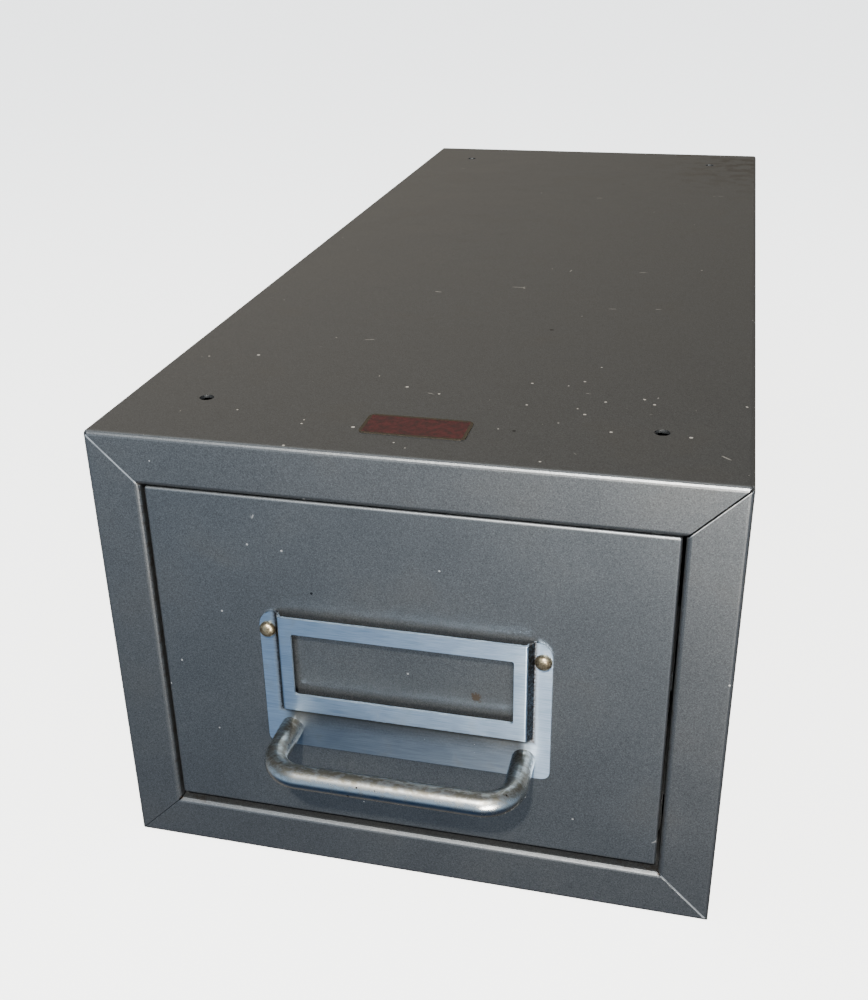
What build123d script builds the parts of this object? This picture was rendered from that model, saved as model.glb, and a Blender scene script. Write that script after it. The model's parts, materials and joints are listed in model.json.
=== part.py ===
from build123d import *
import os
from math import hypot

# Single-drawer steel card-index cabinet, in millimetres.
# Origin: centre of the underside. +Z is up, +X is to the right, and the drawer opens towards -Y.

# ---------------------------------------------------------------- case
CASE_W = 168.3            # overall width, 6 5/8 in
CASE_D = 406.4            # overall depth of the case, 16 in
CASE_H = 131.8            # overall height, 5 3/16 in
SHEET = 0.9               # 20 gauge sheet of case, drawer and rails
BEND = 0.4                # inside radius of a fold
CORNER_R = 1.3            # outside radius of the case's long edges
FLANGE = 14.3             # width of the frame round the drawer opening, 9/16 in
LIP = 8.0                 # depth of the frame's inner edge, folded back
MITRE_GAP = 0.4           # open joint between two flanges at a corner
FLANGE_START = 2.0        # how far behind the front plane a flange leaves its wall
UPTURN = 12.0             # height of the bottom panel's side upturns
BACK_FLANGE = 8.0         # depth of the back panel's flanges
BACK_FLANGE_GAP = 4.0     # from a back flange to the runner or upturn below it

STACK_HOLE_D = 4.0        # holes that bolt one cabinet to the next
STACK_HOLE_SIDE = 22.75   # from the side of the case to a hole's centre
STACK_HOLE_END = 28.1     # from the front or the back to a hole's centre

BADGE_W = 28.0
BADGE_L = 12.7
BADGE_T = 0.2
BADGE_R = 2.0
BADGE_FRONT = 12.8        # from the front of the case to the badge

# ---------------------------------------------------------------- drawer
SIDE_GAP = 0.9            # drawer front to the frame, each side
TOP_GAP = 0.4
BOTTOM_GAP = 2.2
RECESS = 0.6              # drawer front behind the frame's front
FRONT_RETURN = 10.0       # depth of the drawer front's folded edges
FRONT_CORNER_R = 1.0      # corner radius of the drawer front
FRONT_EDGE_R = 0.8        # outside radius of its four folds
TRAY_SIDE = 55.0          # height of the tray's sides
TRAY_REAR_GAP = 8.0       # tray's rear end to the back of the case
HEM = 6.0                 # height of the hem on the tray's sides
HEM_GAP = 0.3             # between a hem and its side
HEM_BEND = 0.1            # inside radius of the hem
TAB = 12.0                # weld tabs from the tray to the drawer front
BACK_UNDER_LIP = 6.5      # drawer back's top edge below the top of the opening
BACK_TOP_FOLD = 8.0       # stiffening fold along the drawer back's top
BACK_SIDE_FOLD = 10.0     # weld flanges of the drawer back

SLIDE_GAP = 0.3           # running gap between sliding faces
SHELF = 9.0               # width of a runner's shelf under the tray
SHOULDER = 13.0           # height of a runner's guide beside the tray
RUNNER_WEB = 13.0         # height of a runner's weld web on the case side
RUNNER_FRONT = 15.0       # case front to the runners' front ends
STOP_TAB = 9.0            # height of the runners' turned-up rear ends

RAIL_W = 24.0             # hold-down rail
RAIL_GAP = 1.0            # rail's lower edges over the drawer back
RAIL_FRONT = 14.0
RAIL_REAR = 16.0

# ---------------------------------------------------------------- drop stop
DOG_PIN_D = 3.0
DOG_PIN_HEAD = 1.2        # thickness of the pin's heads
DOG_PIN_CLEAR = 0.075     # running clearance, radial
DOG_PIN_FRONT = 30.0      # case front to the pin
DOG_W = 19.0
DOG_SHEET = 1.2
DOG_TAIL_UP = 7.4         # pin to the tail that rests against the rail
DOG_TAIL_BACK = 7.5
DOG_NOSE_REACH = 17.0     # pin to the face that stops the drawer
DOG_NOSE_LAND = 3.0       # flat under the nose
DOG_CATCH = 3.2           # how far the nose hangs below the drawer back's top
DOG_HUB = 3.6             # metal round the pin, radial

# ---------------------------------------------------------------- front hardware
HOLDER_W = 79.0           # stamped label holder
HOLDER_H = 42.8
HOLDER_SHEET = 0.8
HOLDER_UP = 24.5          # drawer front's lower edge to the holder's
HOLDER_BOTTOM_R = 2.3
HOLDER_TOP_R = 4.4
POCKET_W = 69.6           # raised label pocket, at the plate
POCKET_UP = 12.0          # holder's lower edge to the pocket's
POCKET_RISE = 2.6         # pocket's face in front of the plate
POCKET_SLOPE = 1.5        # run of the pocket's sloped walls
WINDOW_W = 60.0
WINDOW_H = 19.3
WINDOW_UP = 18.7          # holder's lower edge to the window's
WINDOW_R = 0.8

RIVET_D = 3.0             # rivets through the holder's ears
RIVET_HEAD_D = 4.5
RIVET_HEAD_H = 1.7
RIVET_TAIL_D = 5.0
RIVET_TAIL_H = 1.0
RIVET_SPACING = 74.4
RIVET_DROP = 5.5          # holder's top edge to the rivets

ROD_D = 6.4               # pull, 1/4 in rod
PULL_SPACING = 65.0       # between the legs' axes
PULL_REACH = 20.2         # case front to the bar's axis
PULL_BEND = 8.5           # bend radius of the rod's axis
PULL_UP = 5.8             # holder's lower edge to the pull's axis

SCREW_D = 4.2             # screws into the pull's legs
SCREW_HEAD_D = 8.0
SCREW_HEAD_H = 2.6
SCREW_IN_ROD = 8.0
SCREW_SLOT_W = 1.2
SCREW_SLOT_H = 1.3
WASHER_D = 11.0
WASHER_T = 0.8

# ---------------------------------------------------------------- follower
TRACK_W = 26.0            # raised part of the track
TRACK_H = 5.0
TRACK_FOOT = 8.0
TRACK_SLOT = 7.0
TRACK_FRONT = 20.0        # drawer front to the track
TRACK_REAR = 12.0         # track to the tray's rear end
SLOT_END = 8.0            # track's end to the slot's
TRACK_RIVET_D = 3.0
TRACK_RIVET_HEAD_D = 5.5
TRACK_RIVET_HEAD_H = 0.8
TRACK_RIVET_END = 10.0    # track's end to the first rivet
TRACK_RIVET_PAIRS = 4

FOLLOWER_SIDE = 4.5       # follower to the tray's side
FOLLOWER_DROP = 16.0      # follower's top below the drawer back's
FOLLOWER_SHEET = 1.2
FOLLOWER_R = 10.0         # top corners
FOLLOWER_FOLD = 8.0       # stiffening folds down the edges
FOOT_W = 40.0
FOOT_L = 40.0
FOOT_GAP = 0.3            # foot over the track
SHOE_T = 2.0
SHOE_L = 30.0
SHOE_SIDE = 2.0           # shoe to the inside of the track
SHOE_GAP = 0.3            # shoe under the track's top
BLADE_T = 5.6
BLADE_L = 14.0
BLADE_UP = 5.5            # blade's top above the lever pin
FOOT_HOLE_GAP = 0.3
SHOE_BACK = 24.0          # follower's face to the lever pin

LEVER_PIN_D = 3.2
LEVER_PIN_CLEAR = 0.08
LEVER_PIN_END = 1.5       # pin standing out of the lever
LEVER_SHEET = 1.5
LEVER_SIDE_GAP = 0.3
CAM_R = 6.0               # cam that grips the foot
CAM_OFFSET = 0.5          # towards the foot at rest
CAM_GAP = 0.15            # lets the lever turn freely in the model
LEVER_L = 24.0
LEVER_ARM = 4.0           # half height of the arms

# ---------------------------------------------------------------- worked-out places
FRONT_Y = -CASE_D / 2
REAR_Y = CASE_D / 2
INNER_X = CASE_W / 2 - SHEET
INNER_TOP = CASE_H - SHEET
OPEN_X = CASE_W / 2 - FLANGE
OPEN_Z0 = FLANGE
OPEN_Z1 = CASE_H - FLANGE

PAN_X = OPEN_X - SIDE_GAP
PAN_Z0 = OPEN_Z0 + BOTTOM_GAP
PAN_Z1 = OPEN_Z1 - TOP_GAP
PAN_Y = FRONT_Y + RECESS
PAN_INNER_Y = PAN_Y + SHEET

TRAY_X = PAN_X - SHEET
TRAY_IN_X = TRAY_X - SHEET
TRAY_Z = PAN_Z0 + SHEET
TRAY_FLOOR = TRAY_Z + SHEET
TRAY_TOP = TRAY_Z + TRAY_SIDE
TRAY_REAR_Y = REAR_Y - TRAY_REAR_GAP
BACK_TOP = OPEN_Z1 - BACK_UNDER_LIP

RUNNER_Y0 = FRONT_Y + RUNNER_FRONT
SHELF_TOP = TRAY_Z - SLIDE_GAP
RUNNER_X = TRAY_X + SLIDE_GAP
RUNNER_TOP = SHELF_TOP - SHEET + SHOULDER
STOP_TAB_Y = TRAY_REAR_Y + SLIDE_GAP

RAIL_Y0 = FRONT_Y + RAIL_FRONT
RAIL_Y1 = REAR_Y - RAIL_REAR
RAIL_Z = BACK_TOP + RAIL_GAP
DOG_Y = FRONT_Y + DOG_PIN_FRONT
DOG_Z = INNER_TOP - SHEET - SLIDE_GAP - DOG_TAIL_UP
DOG_NOSE_DOWN = DOG_Z - (BACK_TOP - DOG_CATCH)

HOLDER_Z = PAN_Z0 + HOLDER_UP
HOLDER_TOP = HOLDER_Z + HOLDER_H
HOLDER_Y = PAN_Y - HOLDER_SHEET
RIVET_Z = HOLDER_TOP - RIVET_DROP
PULL_Z = HOLDER_Z + PULL_UP
PULL_Y = FRONT_Y - PULL_REACH

TRACK_TOP = TRAY_FLOOR + TRACK_H
TRACK_Y0 = PAN_INNER_Y + TRACK_FRONT
TRACK_Y1 = TRAY_REAR_Y - TRACK_REAR
SLOT_Y0 = TRACK_Y0 + SLOT_END
SLOT_Y1 = TRACK_Y1 - SLOT_END
FOOT_Z = TRACK_TOP + FOOT_GAP
FOOT_TOP = FOOT_Z + FOLLOWER_SHEET
FOLLOWER_X = TRAY_IN_X - FOLLOWER_SIDE
FOLLOWER_TOP = BACK_TOP - FOLLOWER_DROP
LEVER_Y = SLOT_Y1 - SLIDE_GAP - BLADE_L / 2
FOLLOWER_Y = LEVER_Y - SHOE_BACK
LEVER_Z = FOOT_TOP + CAM_GAP + CAM_OFFSET + CAM_R

DRAWER_TRAVEL = TRAY_REAR_Y - BACK_TOP_FOLD - (DOG_Y + DOG_NOSE_REACH) - SLIDE_GAP
FOLLOWER_TRAVEL = LEVER_Y - BLADE_L / 2 - SLIDE_GAP - SLOT_Y0


# ---------------------------------------------------------------- helpers
def along_x(face, x0, x1):
    """Prism whose section is drawn in (y, z)."""
    return extrude(Plane(origin=(x0, 0, 0), x_dir=(0, 1, 0), z_dir=(1, 0, 0)) * face, amount=x1 - x0)


def along_y(face, y0, y1):
    """Prism whose section is drawn in (x, z)."""
    return extrude(Plane(origin=(0, y1, 0), x_dir=(1, 0, 0), z_dir=(0, -1, 0)) * face, amount=y1 - y0)


def along_z(face, z0, z1):
    """Prism whose section is drawn in (x, y)."""
    return extrude(Plane(origin=(0, 0, z0)) * face, amount=z1 - z0)


def block(x0, x1, y0, y1, z0, z1):
    return Pos((x0 + x1) / 2, (y0 + y1) / 2, (z0 + z1) / 2) * Box(x1 - x0, y1 - y0, z1 - z0)


def rect(u0, u1, v0, v1):
    """Rectangle between two corners of the drawing plane."""
    return Pos((u0 + u1) / 2, (v0 + v1) / 2) * Rectangle(u1 - u0, v1 - v0)


def outline(points, radii=0):
    """Filled closed outline, with a radius at each point."""
    return make_face(FilletPolyline(*points, radius=radii, close=True))


def folded(points, thickness=SHEET, inside=BEND):
    """Section of sheet metal folded along points, with the metal on the left of the path."""
    normals = []
    for (u0, v0), (u1, v1) in zip(points, points[1:]):
        length = hypot(u1 - u0, v1 - v0)
        normals.append(((v0 - v1) / length, (u1 - u0) / length))
    other, radii, other_radii = [], [], []
    for i, (u, v) in enumerate(points):
        n0 = normals[max(i - 1, 0)]
        n1 = normals[min(i, len(normals) - 1)]
        grow = thickness / (1 + n0[0] * n1[0] + n0[1] * n1[1])
        other.append((u + (n0[0] + n1[0]) * grow, v + (n0[1] + n1[1]) * grow))
        turn = n0[0] * n1[1] - n0[1] * n1[0]
        is_end = i in (0, len(points) - 1)
        radii.append(0 if is_end else inside + thickness * (turn > 0))
        other_radii.append(0 if is_end else inside + thickness * (turn < 0))
    return outline(points + other[::-1], radii + other_radii[::-1])


def disc(radius, u=0, v=0):
    return Pos(u, v) * Circle(radius)


def mirrored(part):
    """The same piece on the other side of the cabinet."""
    return mirror(part, about=Plane.YZ)


def both_sides(part):
    return part + mirrored(part)


# ---------------------------------------------------------------- case
def frame_side(length):
    """One mitred flange of the front frame, lying along X with its wall's outer face at z = 0."""
    section = folded([(FRONT_Y + FLANGE_START, 0), (FRONT_Y, 0), (FRONT_Y, -FLANGE),
                      (FRONT_Y + LIP, -FLANGE)])
    strip = along_x(section, -length / 2, length / 2)
    half_gap = MITRE_GAP * 2 ** 0.5 / 2
    outer = length / 2 - half_gap
    inner = outer - FLANGE
    wedge = outline([(-outer, 0), (outer, 0), (inner, -FLANGE), (-inner, -FLANGE)])
    return strip & along_y(wedge, FRONT_Y, FRONT_Y + LIP)


def case_outline():
    """Prism that rounds the corners of the front frame."""
    section = Pos(0, CASE_H / 2) * RectangleRounded(CASE_W, CASE_H, CORNER_R)
    return along_y(section, FRONT_Y, FRONT_Y + LIP)


def stack_holes(z0, z1):
    holes = []
    for x in (STACK_HOLE_SIDE - CASE_W / 2, CASE_W / 2 - STACK_HOLE_SIDE):
        for y in (FRONT_Y + STACK_HOLE_END, REAR_Y - STACK_HOLE_END):
            holes.append(along_z(disc(STACK_HOLE_D / 2, x, y), z0, z1))
    return holes


def case_shell():
    """Top and sides folded from one sheet, with the frame's top and side flanges."""
    half = CASE_W / 2
    section = folded([(half, 0), (half, CASE_H), (-half, CASE_H), (-half, 0)], inside=CORNER_R - SHEET)
    shell = along_y(section, FRONT_Y + FLANGE_START, REAR_Y)
    top = Pos(0, 0, CASE_H) * frame_side(CASE_W)
    side = Pos(half, 0, CASE_H / 2) * (Rot(0, 90, 0) * frame_side(CASE_H))
    flanges = (top + both_sides(side)) & case_outline()
    return shell + flanges - stack_holes(INNER_TOP - SHEET, CASE_H + SHEET)


def bottom_panel():
    """Floor between the case sides, with side upturns and the frame's bottom flange."""
    section = folded([(-INNER_X, UPTURN), (-INNER_X, 0), (INNER_X, 0), (INNER_X, UPTURN)])
    floor = along_y(section, FRONT_Y + FLANGE_START, REAR_Y - SHEET)
    flange = (Rot(0, 180, 0) * frame_side(CASE_W)) & case_outline()
    return floor + flange - stack_holes(-SHEET, 2 * SHEET)


def back_panel():
    """Rear plate with flanges welded to the top, the sides and the floor."""
    corner = CORNER_R - SHEET
    face = outline([(-INNER_X, 0), (INNER_X, 0), (INNER_X, INNER_TOP), (-INNER_X, INNER_TOP)],
                   [0, 0, corner, corner])
    plate = along_y(face, REAR_Y - SHEET, REAR_Y)
    flange_y = REAR_Y - SHEET - BACK_FLANGE
    side_z0 = RUNNER_TOP + RUNNER_WEB + BACK_FLANGE_GAP
    side_z1 = INNER_TOP - BACK_FLANGE
    end_x = INNER_X - UPTURN
    top = folded([(flange_y, INNER_TOP), (REAR_Y, INNER_TOP), (REAR_Y, side_z0)][::-1])
    bottom = folded([(flange_y, SHEET), (REAR_Y, SHEET), (REAR_Y, side_z0)])
    side = folded([(INNER_X, flange_y), (INNER_X, REAR_Y), (0, REAR_Y)])
    return (plate + along_x(top, -end_x, end_x) + along_x(bottom, -end_x, end_x)
            + both_sides(along_z(side, side_z0, side_z1)))


def right_runner():
    """Stepped rail: weld web on the case side, guide beside the tray, shelf under it, stop at the rear."""
    shelf_z = SHELF_TOP - SHEET
    inner_x = RUNNER_X - SHELF
    section = folded([(inner_x, shelf_z), (RUNNER_X + SHEET, shelf_z), (RUNNER_X + SHEET, RUNNER_TOP),
                      (INNER_X, RUNNER_TOP), (INNER_X, RUNNER_TOP + RUNNER_WEB)])
    rail = along_y(section, RUNNER_Y0, STOP_TAB_Y)
    stop = folded([(STOP_TAB_Y - FLANGE_START, shelf_z), (STOP_TAB_Y + SHEET, shelf_z),
                   (STOP_TAB_Y + SHEET, shelf_z + STOP_TAB)])
    return rail + along_x(stop, inner_x, RUNNER_X - SLIDE_GAP)


def hold_down_rail():
    """Channel under the top, open downwards, with holes for the drop stop's pin."""
    half = RAIL_W / 2
    section = folded([(half, RAIL_Z), (half, INNER_TOP), (-half, INNER_TOP), (-half, RAIL_Z)])
    rail = along_y(section, RAIL_Y0, RAIL_Y1)
    return rail - along_x(disc(DOG_PIN_D / 2, DOG_Y, DOG_Z), -RAIL_W, RAIL_W)


def stop_dog():
    """Bent-plate pawl: two cheeks on the pin, a ramp in front and below, and a square nose behind."""
    nose_y = DOG_Y + DOG_NOSE_REACH
    nose_z = DOG_Z - DOG_NOSE_DOWN
    cheek = outline([(DOG_Y - DOG_TAIL_BACK, DOG_Z + DOG_TAIL_UP), (DOG_Y - DOG_HUB, DOG_Z - DOG_HUB),
                     (nose_y - DOG_NOSE_LAND, nose_z), (nose_y, nose_z), (nose_y, nose_z + 2 * DOG_CATCH),
                     (DOG_Y + DOG_HUB, DOG_Z + DOG_HUB), (DOG_Y - DOG_HUB, DOG_Z + DOG_TAIL_UP)],
                    [BEND, DOG_HUB, BEND, BEND, DOG_HUB, DOG_HUB, BEND])
    ramp = folded([(DOG_Y - DOG_HUB, DOG_Z - DOG_HUB), (nose_y - DOG_NOSE_LAND, nose_z), (nose_y, nose_z),
                   (nose_y, nose_z + 2 * DOG_CATCH)], DOG_SHEET)
    eye = disc(DOG_PIN_D / 2 + DOG_PIN_CLEAR, DOG_Y, DOG_Z)
    half = DOG_W / 2
    cheeks = both_sides(along_x(cheek - eye, half - DOG_SHEET, half))
    return cheeks + (along_x(ramp, -half, half) - along_x(eye, -half, half))


def stop_dog_pin():
    """Pin through the rail, headed outside both of its walls."""
    wall = RAIL_W / 2
    shaft = along_x(disc(DOG_PIN_D / 2, DOG_Y, DOG_Z), -wall, wall)
    return shaft + both_sides(along_x(disc(DOG_PIN_D, DOG_Y, DOG_Z), wall, wall + DOG_PIN_HEAD))


def top_badge():
    """Plain plate on the top, near the front."""
    y = FRONT_Y + BADGE_FRONT + BADGE_L / 2
    return along_z(Pos(0, y) * RectangleRounded(BADGE_W, BADGE_L, BADGE_R), CASE_H, CASE_H + BADGE_T)


# ---------------------------------------------------------------- drawer
def at_both(spacing, part):
    """Two copies, one each side of the middle."""
    return [Pos(-spacing / 2, 0, 0) * part, Pos(spacing / 2, 0, 0) * part]


def drilled(spacing, diameter, z, y0, y1):
    """A pair of round cutters from front to back."""
    return at_both(spacing, along_y(disc(diameter / 2, 0, z), y0, y1))


def drawer_front():
    """Pan with its edges folded back, drilled for the pull and the label holder."""
    depth = FRONT_RETURN
    middle_z = (PAN_Z0 + PAN_Z1) / 2
    width, height = 2 * PAN_X, PAN_Z1 - PAN_Z0
    outer = along_y(Pos(0, middle_z) * RectangleRounded(width, height, FRONT_CORNER_R), PAN_Y, PAN_Y + depth)
    outer = fillet(outer.faces().sort_by(Axis.Y)[0].edges(), FRONT_EDGE_R)
    hollow = Pos(0, middle_z) * Rectangle(width - 2 * SHEET, height - 2 * SHEET)
    inner = along_y(hollow, PAN_INNER_Y, PAN_Y + depth)
    inner = fillet(inner.faces().sort_by(Axis.Y)[0].edges(), BEND)
    rivets = drilled(RIVET_SPACING, RIVET_D, RIVET_Z, PAN_Y - SHEET, PAN_INNER_Y + SHEET)
    screws = drilled(PULL_SPACING, SCREW_D, PULL_Z, PAN_Y - SHEET, PAN_INNER_Y + SHEET)
    return outer - inner - rivets - screws


def drawer_tray():
    """Floor and two sides, hemmed along the top, with weld tabs at the front."""
    start = PAN_INNER_Y + FLANGE_START
    wall_top = TRAY_TOP - FLANGE_START
    section = folded([(-TRAY_X, wall_top), (-TRAY_X, TRAY_Z), (TRAY_X, TRAY_Z), (TRAY_X, wall_top)])
    tray = along_y(section, start, TRAY_REAR_Y)
    hem_x = TRAY_X + HEM_GAP
    hem = folded([(TRAY_IN_X, wall_top), (TRAY_IN_X, TRAY_TOP), (hem_x + SHEET, TRAY_TOP),
                  (hem_x + SHEET, TRAY_TOP - HEM)][::-1], inside=HEM_BEND)
    tray += both_sides(along_y(hem, PAN_Y + FRONT_RETURN + SIDE_GAP, TRAY_REAR_Y))
    side_tab = folded([(TRAY_X - TAB, PAN_INNER_Y), (TRAY_X, PAN_INNER_Y), (TRAY_X, start)])
    tray += both_sides(along_z(side_tab, TRAY_FLOOR + TRACK_H, wall_top - HEM))
    floor_tab = folded([(PAN_INNER_Y, TRAY_Z + TAB), (PAN_INNER_Y, TRAY_Z), (start, TRAY_Z)])
    tray += along_x(floor_tab, TAB - TRAY_X, TRAY_X - TAB)
    return tray - track_rivet_holes()


def drawer_back():
    """Full-height plate with a fold along the top and weld flanges to the tray."""
    rear = TRAY_REAR_Y
    section = folded([(rear - BACK_SIDE_FOLD, TRAY_FLOOR), (rear, TRAY_FLOOR), (rear, BACK_TOP),
                      (rear - BACK_TOP_FOLD, BACK_TOP)])
    plate = along_x(section, BACK_SIDE_FOLD - TRAY_IN_X, TRAY_IN_X - BACK_SIDE_FOLD)
    side = folded([(TRAY_IN_X, rear - BACK_SIDE_FOLD), (TRAY_IN_X, rear), (0, rear)])
    corner_z = BACK_TOP - BACK_TOP_FOLD
    plate += both_sides(along_z(side, TRAY_FLOOR + SHEET, corner_z))
    return plate


def pocket_solid(grow):
    """Solid that fills the raised label pocket, its walls moved outwards by grow, open through the top."""
    bottom = HOLDER_Z + POCKET_UP
    half = POCKET_W / 2
    top = HOLDER_TOP + 4 * POCKET_SLOPE
    base = rect(-half - grow, half + grow, bottom - grow, top)
    face = rect(-half - grow + POCKET_SLOPE, half + grow - POCKET_SLOPE, bottom - grow + POCKET_SLOPE, top)
    back = Plane(origin=(0, HOLDER_Y - grow, 0), x_dir=(1, 0, 0), z_dir=(0, -1, 0))
    front = Plane(origin=(0, HOLDER_Y - POCKET_RISE - grow, 0), x_dir=(1, 0, 0), z_dir=(0, -1, 0))
    return loft([(back * base).face(), (front * face).face()])


def label_holder():
    """One stamping: flat plate with ears, a raised pocket open at the top, and a window."""
    half = HOLDER_W / 2
    plate = outline([(-half, HOLDER_Z), (half, HOLDER_Z), (half, HOLDER_TOP), (-half, HOLDER_TOP)],
                    [HOLDER_BOTTOM_R, HOLDER_BOTTOM_R, HOLDER_TOP_R, HOLDER_TOP_R])
    blank = along_y(plate, HOLDER_Y, PAN_Y)
    keep = block(-half, half, HOLDER_Y - 2 * POCKET_RISE, PAN_Y, HOLDER_Z, HOLDER_TOP)
    raised = pocket_solid(0)
    hollow = pocket_solid(-HOLDER_SHEET)
    behind = block(-POCKET_W / 2 + HOLDER_SHEET, POCKET_W / 2 - HOLDER_SHEET, HOLDER_Y, PAN_Y + SHEET,
                   HOLDER_Z + POCKET_UP + HOLDER_SHEET, HOLDER_TOP + SHEET)
    window_z = HOLDER_Z + WINDOW_UP + WINDOW_H / 2
    window = along_y(Pos(0, window_z) * RectangleRounded(WINDOW_W, WINDOW_H, WINDOW_R), PULL_Y, PAN_Y)
    rivets = drilled(RIVET_SPACING, RIVET_D, RIVET_Z, HOLDER_Y - SHEET, PAN_Y + SHEET)
    screws = drilled(PULL_SPACING, SCREW_D, PULL_Z, HOLDER_Y - SHEET, PAN_Y + SHEET)
    return ((blank + raised) & keep) - hollow - behind - window - rivets - screws


def holder_rivets():
    """Domed heads on the holder's ears, shanks through the drawer front and set tails inside."""
    crown = (0, HOLDER_Y - RIVET_HEAD_H)
    rim = (RIVET_HEAD_D / 2, HOLDER_Y)
    tail_y = PAN_INNER_Y + RIVET_TAIL_H
    section = make_face([TangentArc(crown, rim, tangent=(1, 0)),
                         Polyline(rim, (RIVET_D / 2, HOLDER_Y), (RIVET_D / 2, PAN_INNER_Y),
                                  (RIVET_TAIL_D / 2, PAN_INNER_Y), (RIVET_TAIL_D / 2, tail_y),
                                  (0, tail_y), crown)])
    return at_both(RIVET_SPACING, Pos(0, 0, RIVET_Z) * revolve(section, axis=Axis.Y))


def pull_handle():
    """Round rod bent to a U, its legs drilled for the screws."""
    half = PULL_SPACING / 2
    path = FilletPolyline((-half, HOLDER_Y, PULL_Z), (-half, PULL_Y, PULL_Z), (half, PULL_Y, PULL_Z),
                          (half, HOLDER_Y, PULL_Z), radius=PULL_BEND)
    start = Plane(origin=(-half, HOLDER_Y, PULL_Z), z_dir=(0, -1, 0))
    rod = sweep(start * Circle(ROD_D / 2), path=path)
    return rod - drilled(PULL_SPACING, SCREW_D, PULL_Z, HOLDER_Y - SCREW_IN_ROD, HOLDER_Y)


def pull_washers():
    ring = disc(WASHER_D / 2, 0, PULL_Z) - disc(SCREW_D / 2, 0, PULL_Z)
    return at_both(PULL_SPACING, along_y(ring, PAN_INNER_Y, PAN_INNER_Y + WASHER_T))


def pull_screws():
    seat = PAN_INNER_Y + WASHER_T
    shank = along_y(disc(SCREW_D / 2, 0, PULL_Z), HOLDER_Y - SCREW_IN_ROD, seat)
    head = along_y(disc(SCREW_HEAD_D / 2, 0, PULL_Z), seat, seat + SCREW_HEAD_H)
    head = fillet(head.faces().sort_by(Axis.Y)[-1].edges(), SCREW_HEAD_H / 3)
    slot = block(-SCREW_HEAD_D, SCREW_HEAD_D, seat + SCREW_HEAD_H - SCREW_SLOT_H, seat + SCREW_HEAD_H,
                 PULL_Z - SCREW_SLOT_W / 2, PULL_Z + SCREW_SLOT_W / 2)
    return at_both(PULL_SPACING, shank + head - slot)


# ---------------------------------------------------------------- follower and its track
def track_rivet_places():
    x = TRACK_W / 2 + TRACK_FOOT / 2
    step = (TRACK_Y1 - TRACK_Y0 - 2 * TRACK_RIVET_END) / (TRACK_RIVET_PAIRS - 1)
    return [(side * x, TRACK_Y0 + TRACK_RIVET_END + i * step)
            for side in (-1, 1) for i in range(TRACK_RIVET_PAIRS)]


def track_rivet_holes():
    return [along_z(disc(TRACK_RIVET_D / 2, x, y), TRAY_Z - SHEET, TRAY_FLOOR + 2 * SHEET)
            for x, y in track_rivet_places()]


def follower_track():
    """Hat-section track with a slot along its top."""
    half = TRACK_W / 2
    foot = half + TRACK_FOOT
    under = TRAY_FLOOR
    section = folded([(-foot, under + SHEET), (-half, under + SHEET), (-half, TRACK_TOP), (half, TRACK_TOP),
                      (half, under + SHEET), (foot, under + SHEET)][::-1])
    track = along_y(section, TRACK_Y0, TRACK_Y1)
    slot = Pos(0, (SLOT_Y0 + SLOT_Y1) / 2) * Rectangle(TRACK_SLOT, SLOT_Y1 - SLOT_Y0)
    return track - along_z(slot, TRACK_TOP - 2 * SHEET, TRACK_TOP + SHEET) - track_rivet_holes()


def track_rivets():
    rivets = []
    for x, y in track_rivet_places():
        shank = along_z(disc(TRACK_RIVET_D / 2, x, y), TRAY_Z, TRAY_FLOOR + SHEET)
        foot_top = TRAY_FLOOR + SHEET
        head = along_z(disc(TRACK_RIVET_HEAD_D / 2, x, y), foot_top, foot_top + TRACK_RIVET_HEAD_H)
        rivets.append(shank + fillet(head.faces().sort_by(Axis.Z)[-1].edges(), TRACK_RIVET_HEAD_H / 2))
    return rivets


def blade_hole():
    """Slot in the follower's foot round the blade."""
    half_w = BLADE_T / 2 + FOOT_HOLE_GAP
    half_l = BLADE_L / 2 + FOOT_HOLE_GAP
    return block(-half_w, half_w, LEVER_Y - half_l, LEVER_Y + half_l, FOOT_Z - SHEET, FOOT_TOP + SHEET)


def follower_plate():
    """Upright card support, folded down its edges, on a foot that rides over the track."""
    half = FOLLOWER_X
    low = FOOT_Z + FOLLOWER_SHEET
    face = outline([(-half, low), (half, low), (half, FOLLOWER_TOP), (-half, FOLLOWER_TOP)],
                   [BEND, BEND, FOLLOWER_R, FOLLOWER_R])
    upright = along_y(face, FOLLOWER_Y, FOLLOWER_Y + FOLLOWER_SHEET)
    fold = folded([(0, FOLLOWER_Y), (half, FOLLOWER_Y), (half, FOLLOWER_Y + FOLLOWER_FOLD)],
                  FOLLOWER_SHEET)
    folds = both_sides(along_z(fold, low + FOLLOWER_R, FOLLOWER_TOP - 2 * FOLLOWER_R))
    foot = folded([(FOLLOWER_Y, FOLLOWER_TOP - 2 * FOLLOWER_R), (FOLLOWER_Y, FOOT_Z),
                   (FOLLOWER_Y + FOOT_L, FOOT_Z)], FOLLOWER_SHEET)
    return upright + folds + along_x(foot, -FOOT_W / 2, FOOT_W / 2) - blade_hole()


def follower_shoe():
    """Plate that runs inside the track, with a blade up through the slot for the lever pin."""
    half = TRACK_W / 2 - SHEET - SHOE_SIDE
    top = TRACK_TOP - SHEET - SHOE_GAP
    shoe = block(-half, half, LEVER_Y - SHOE_L / 2, LEVER_Y + SHOE_L / 2, top - SHOE_T, top)
    blade_top = LEVER_Z + BLADE_UP
    front, rear = LEVER_Y - BLADE_L / 2, LEVER_Y + BLADE_L / 2
    blade = outline([(front, top), (rear, top), (rear, blade_top), (front, blade_top)],
                    [0, 0, BLADE_UP / 2, BLADE_UP / 2])
    pin = disc(LEVER_PIN_D / 2, LEVER_Y, LEVER_Z)
    return shoe + along_x(blade - pin, -BLADE_T / 2, BLADE_T / 2)


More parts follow.
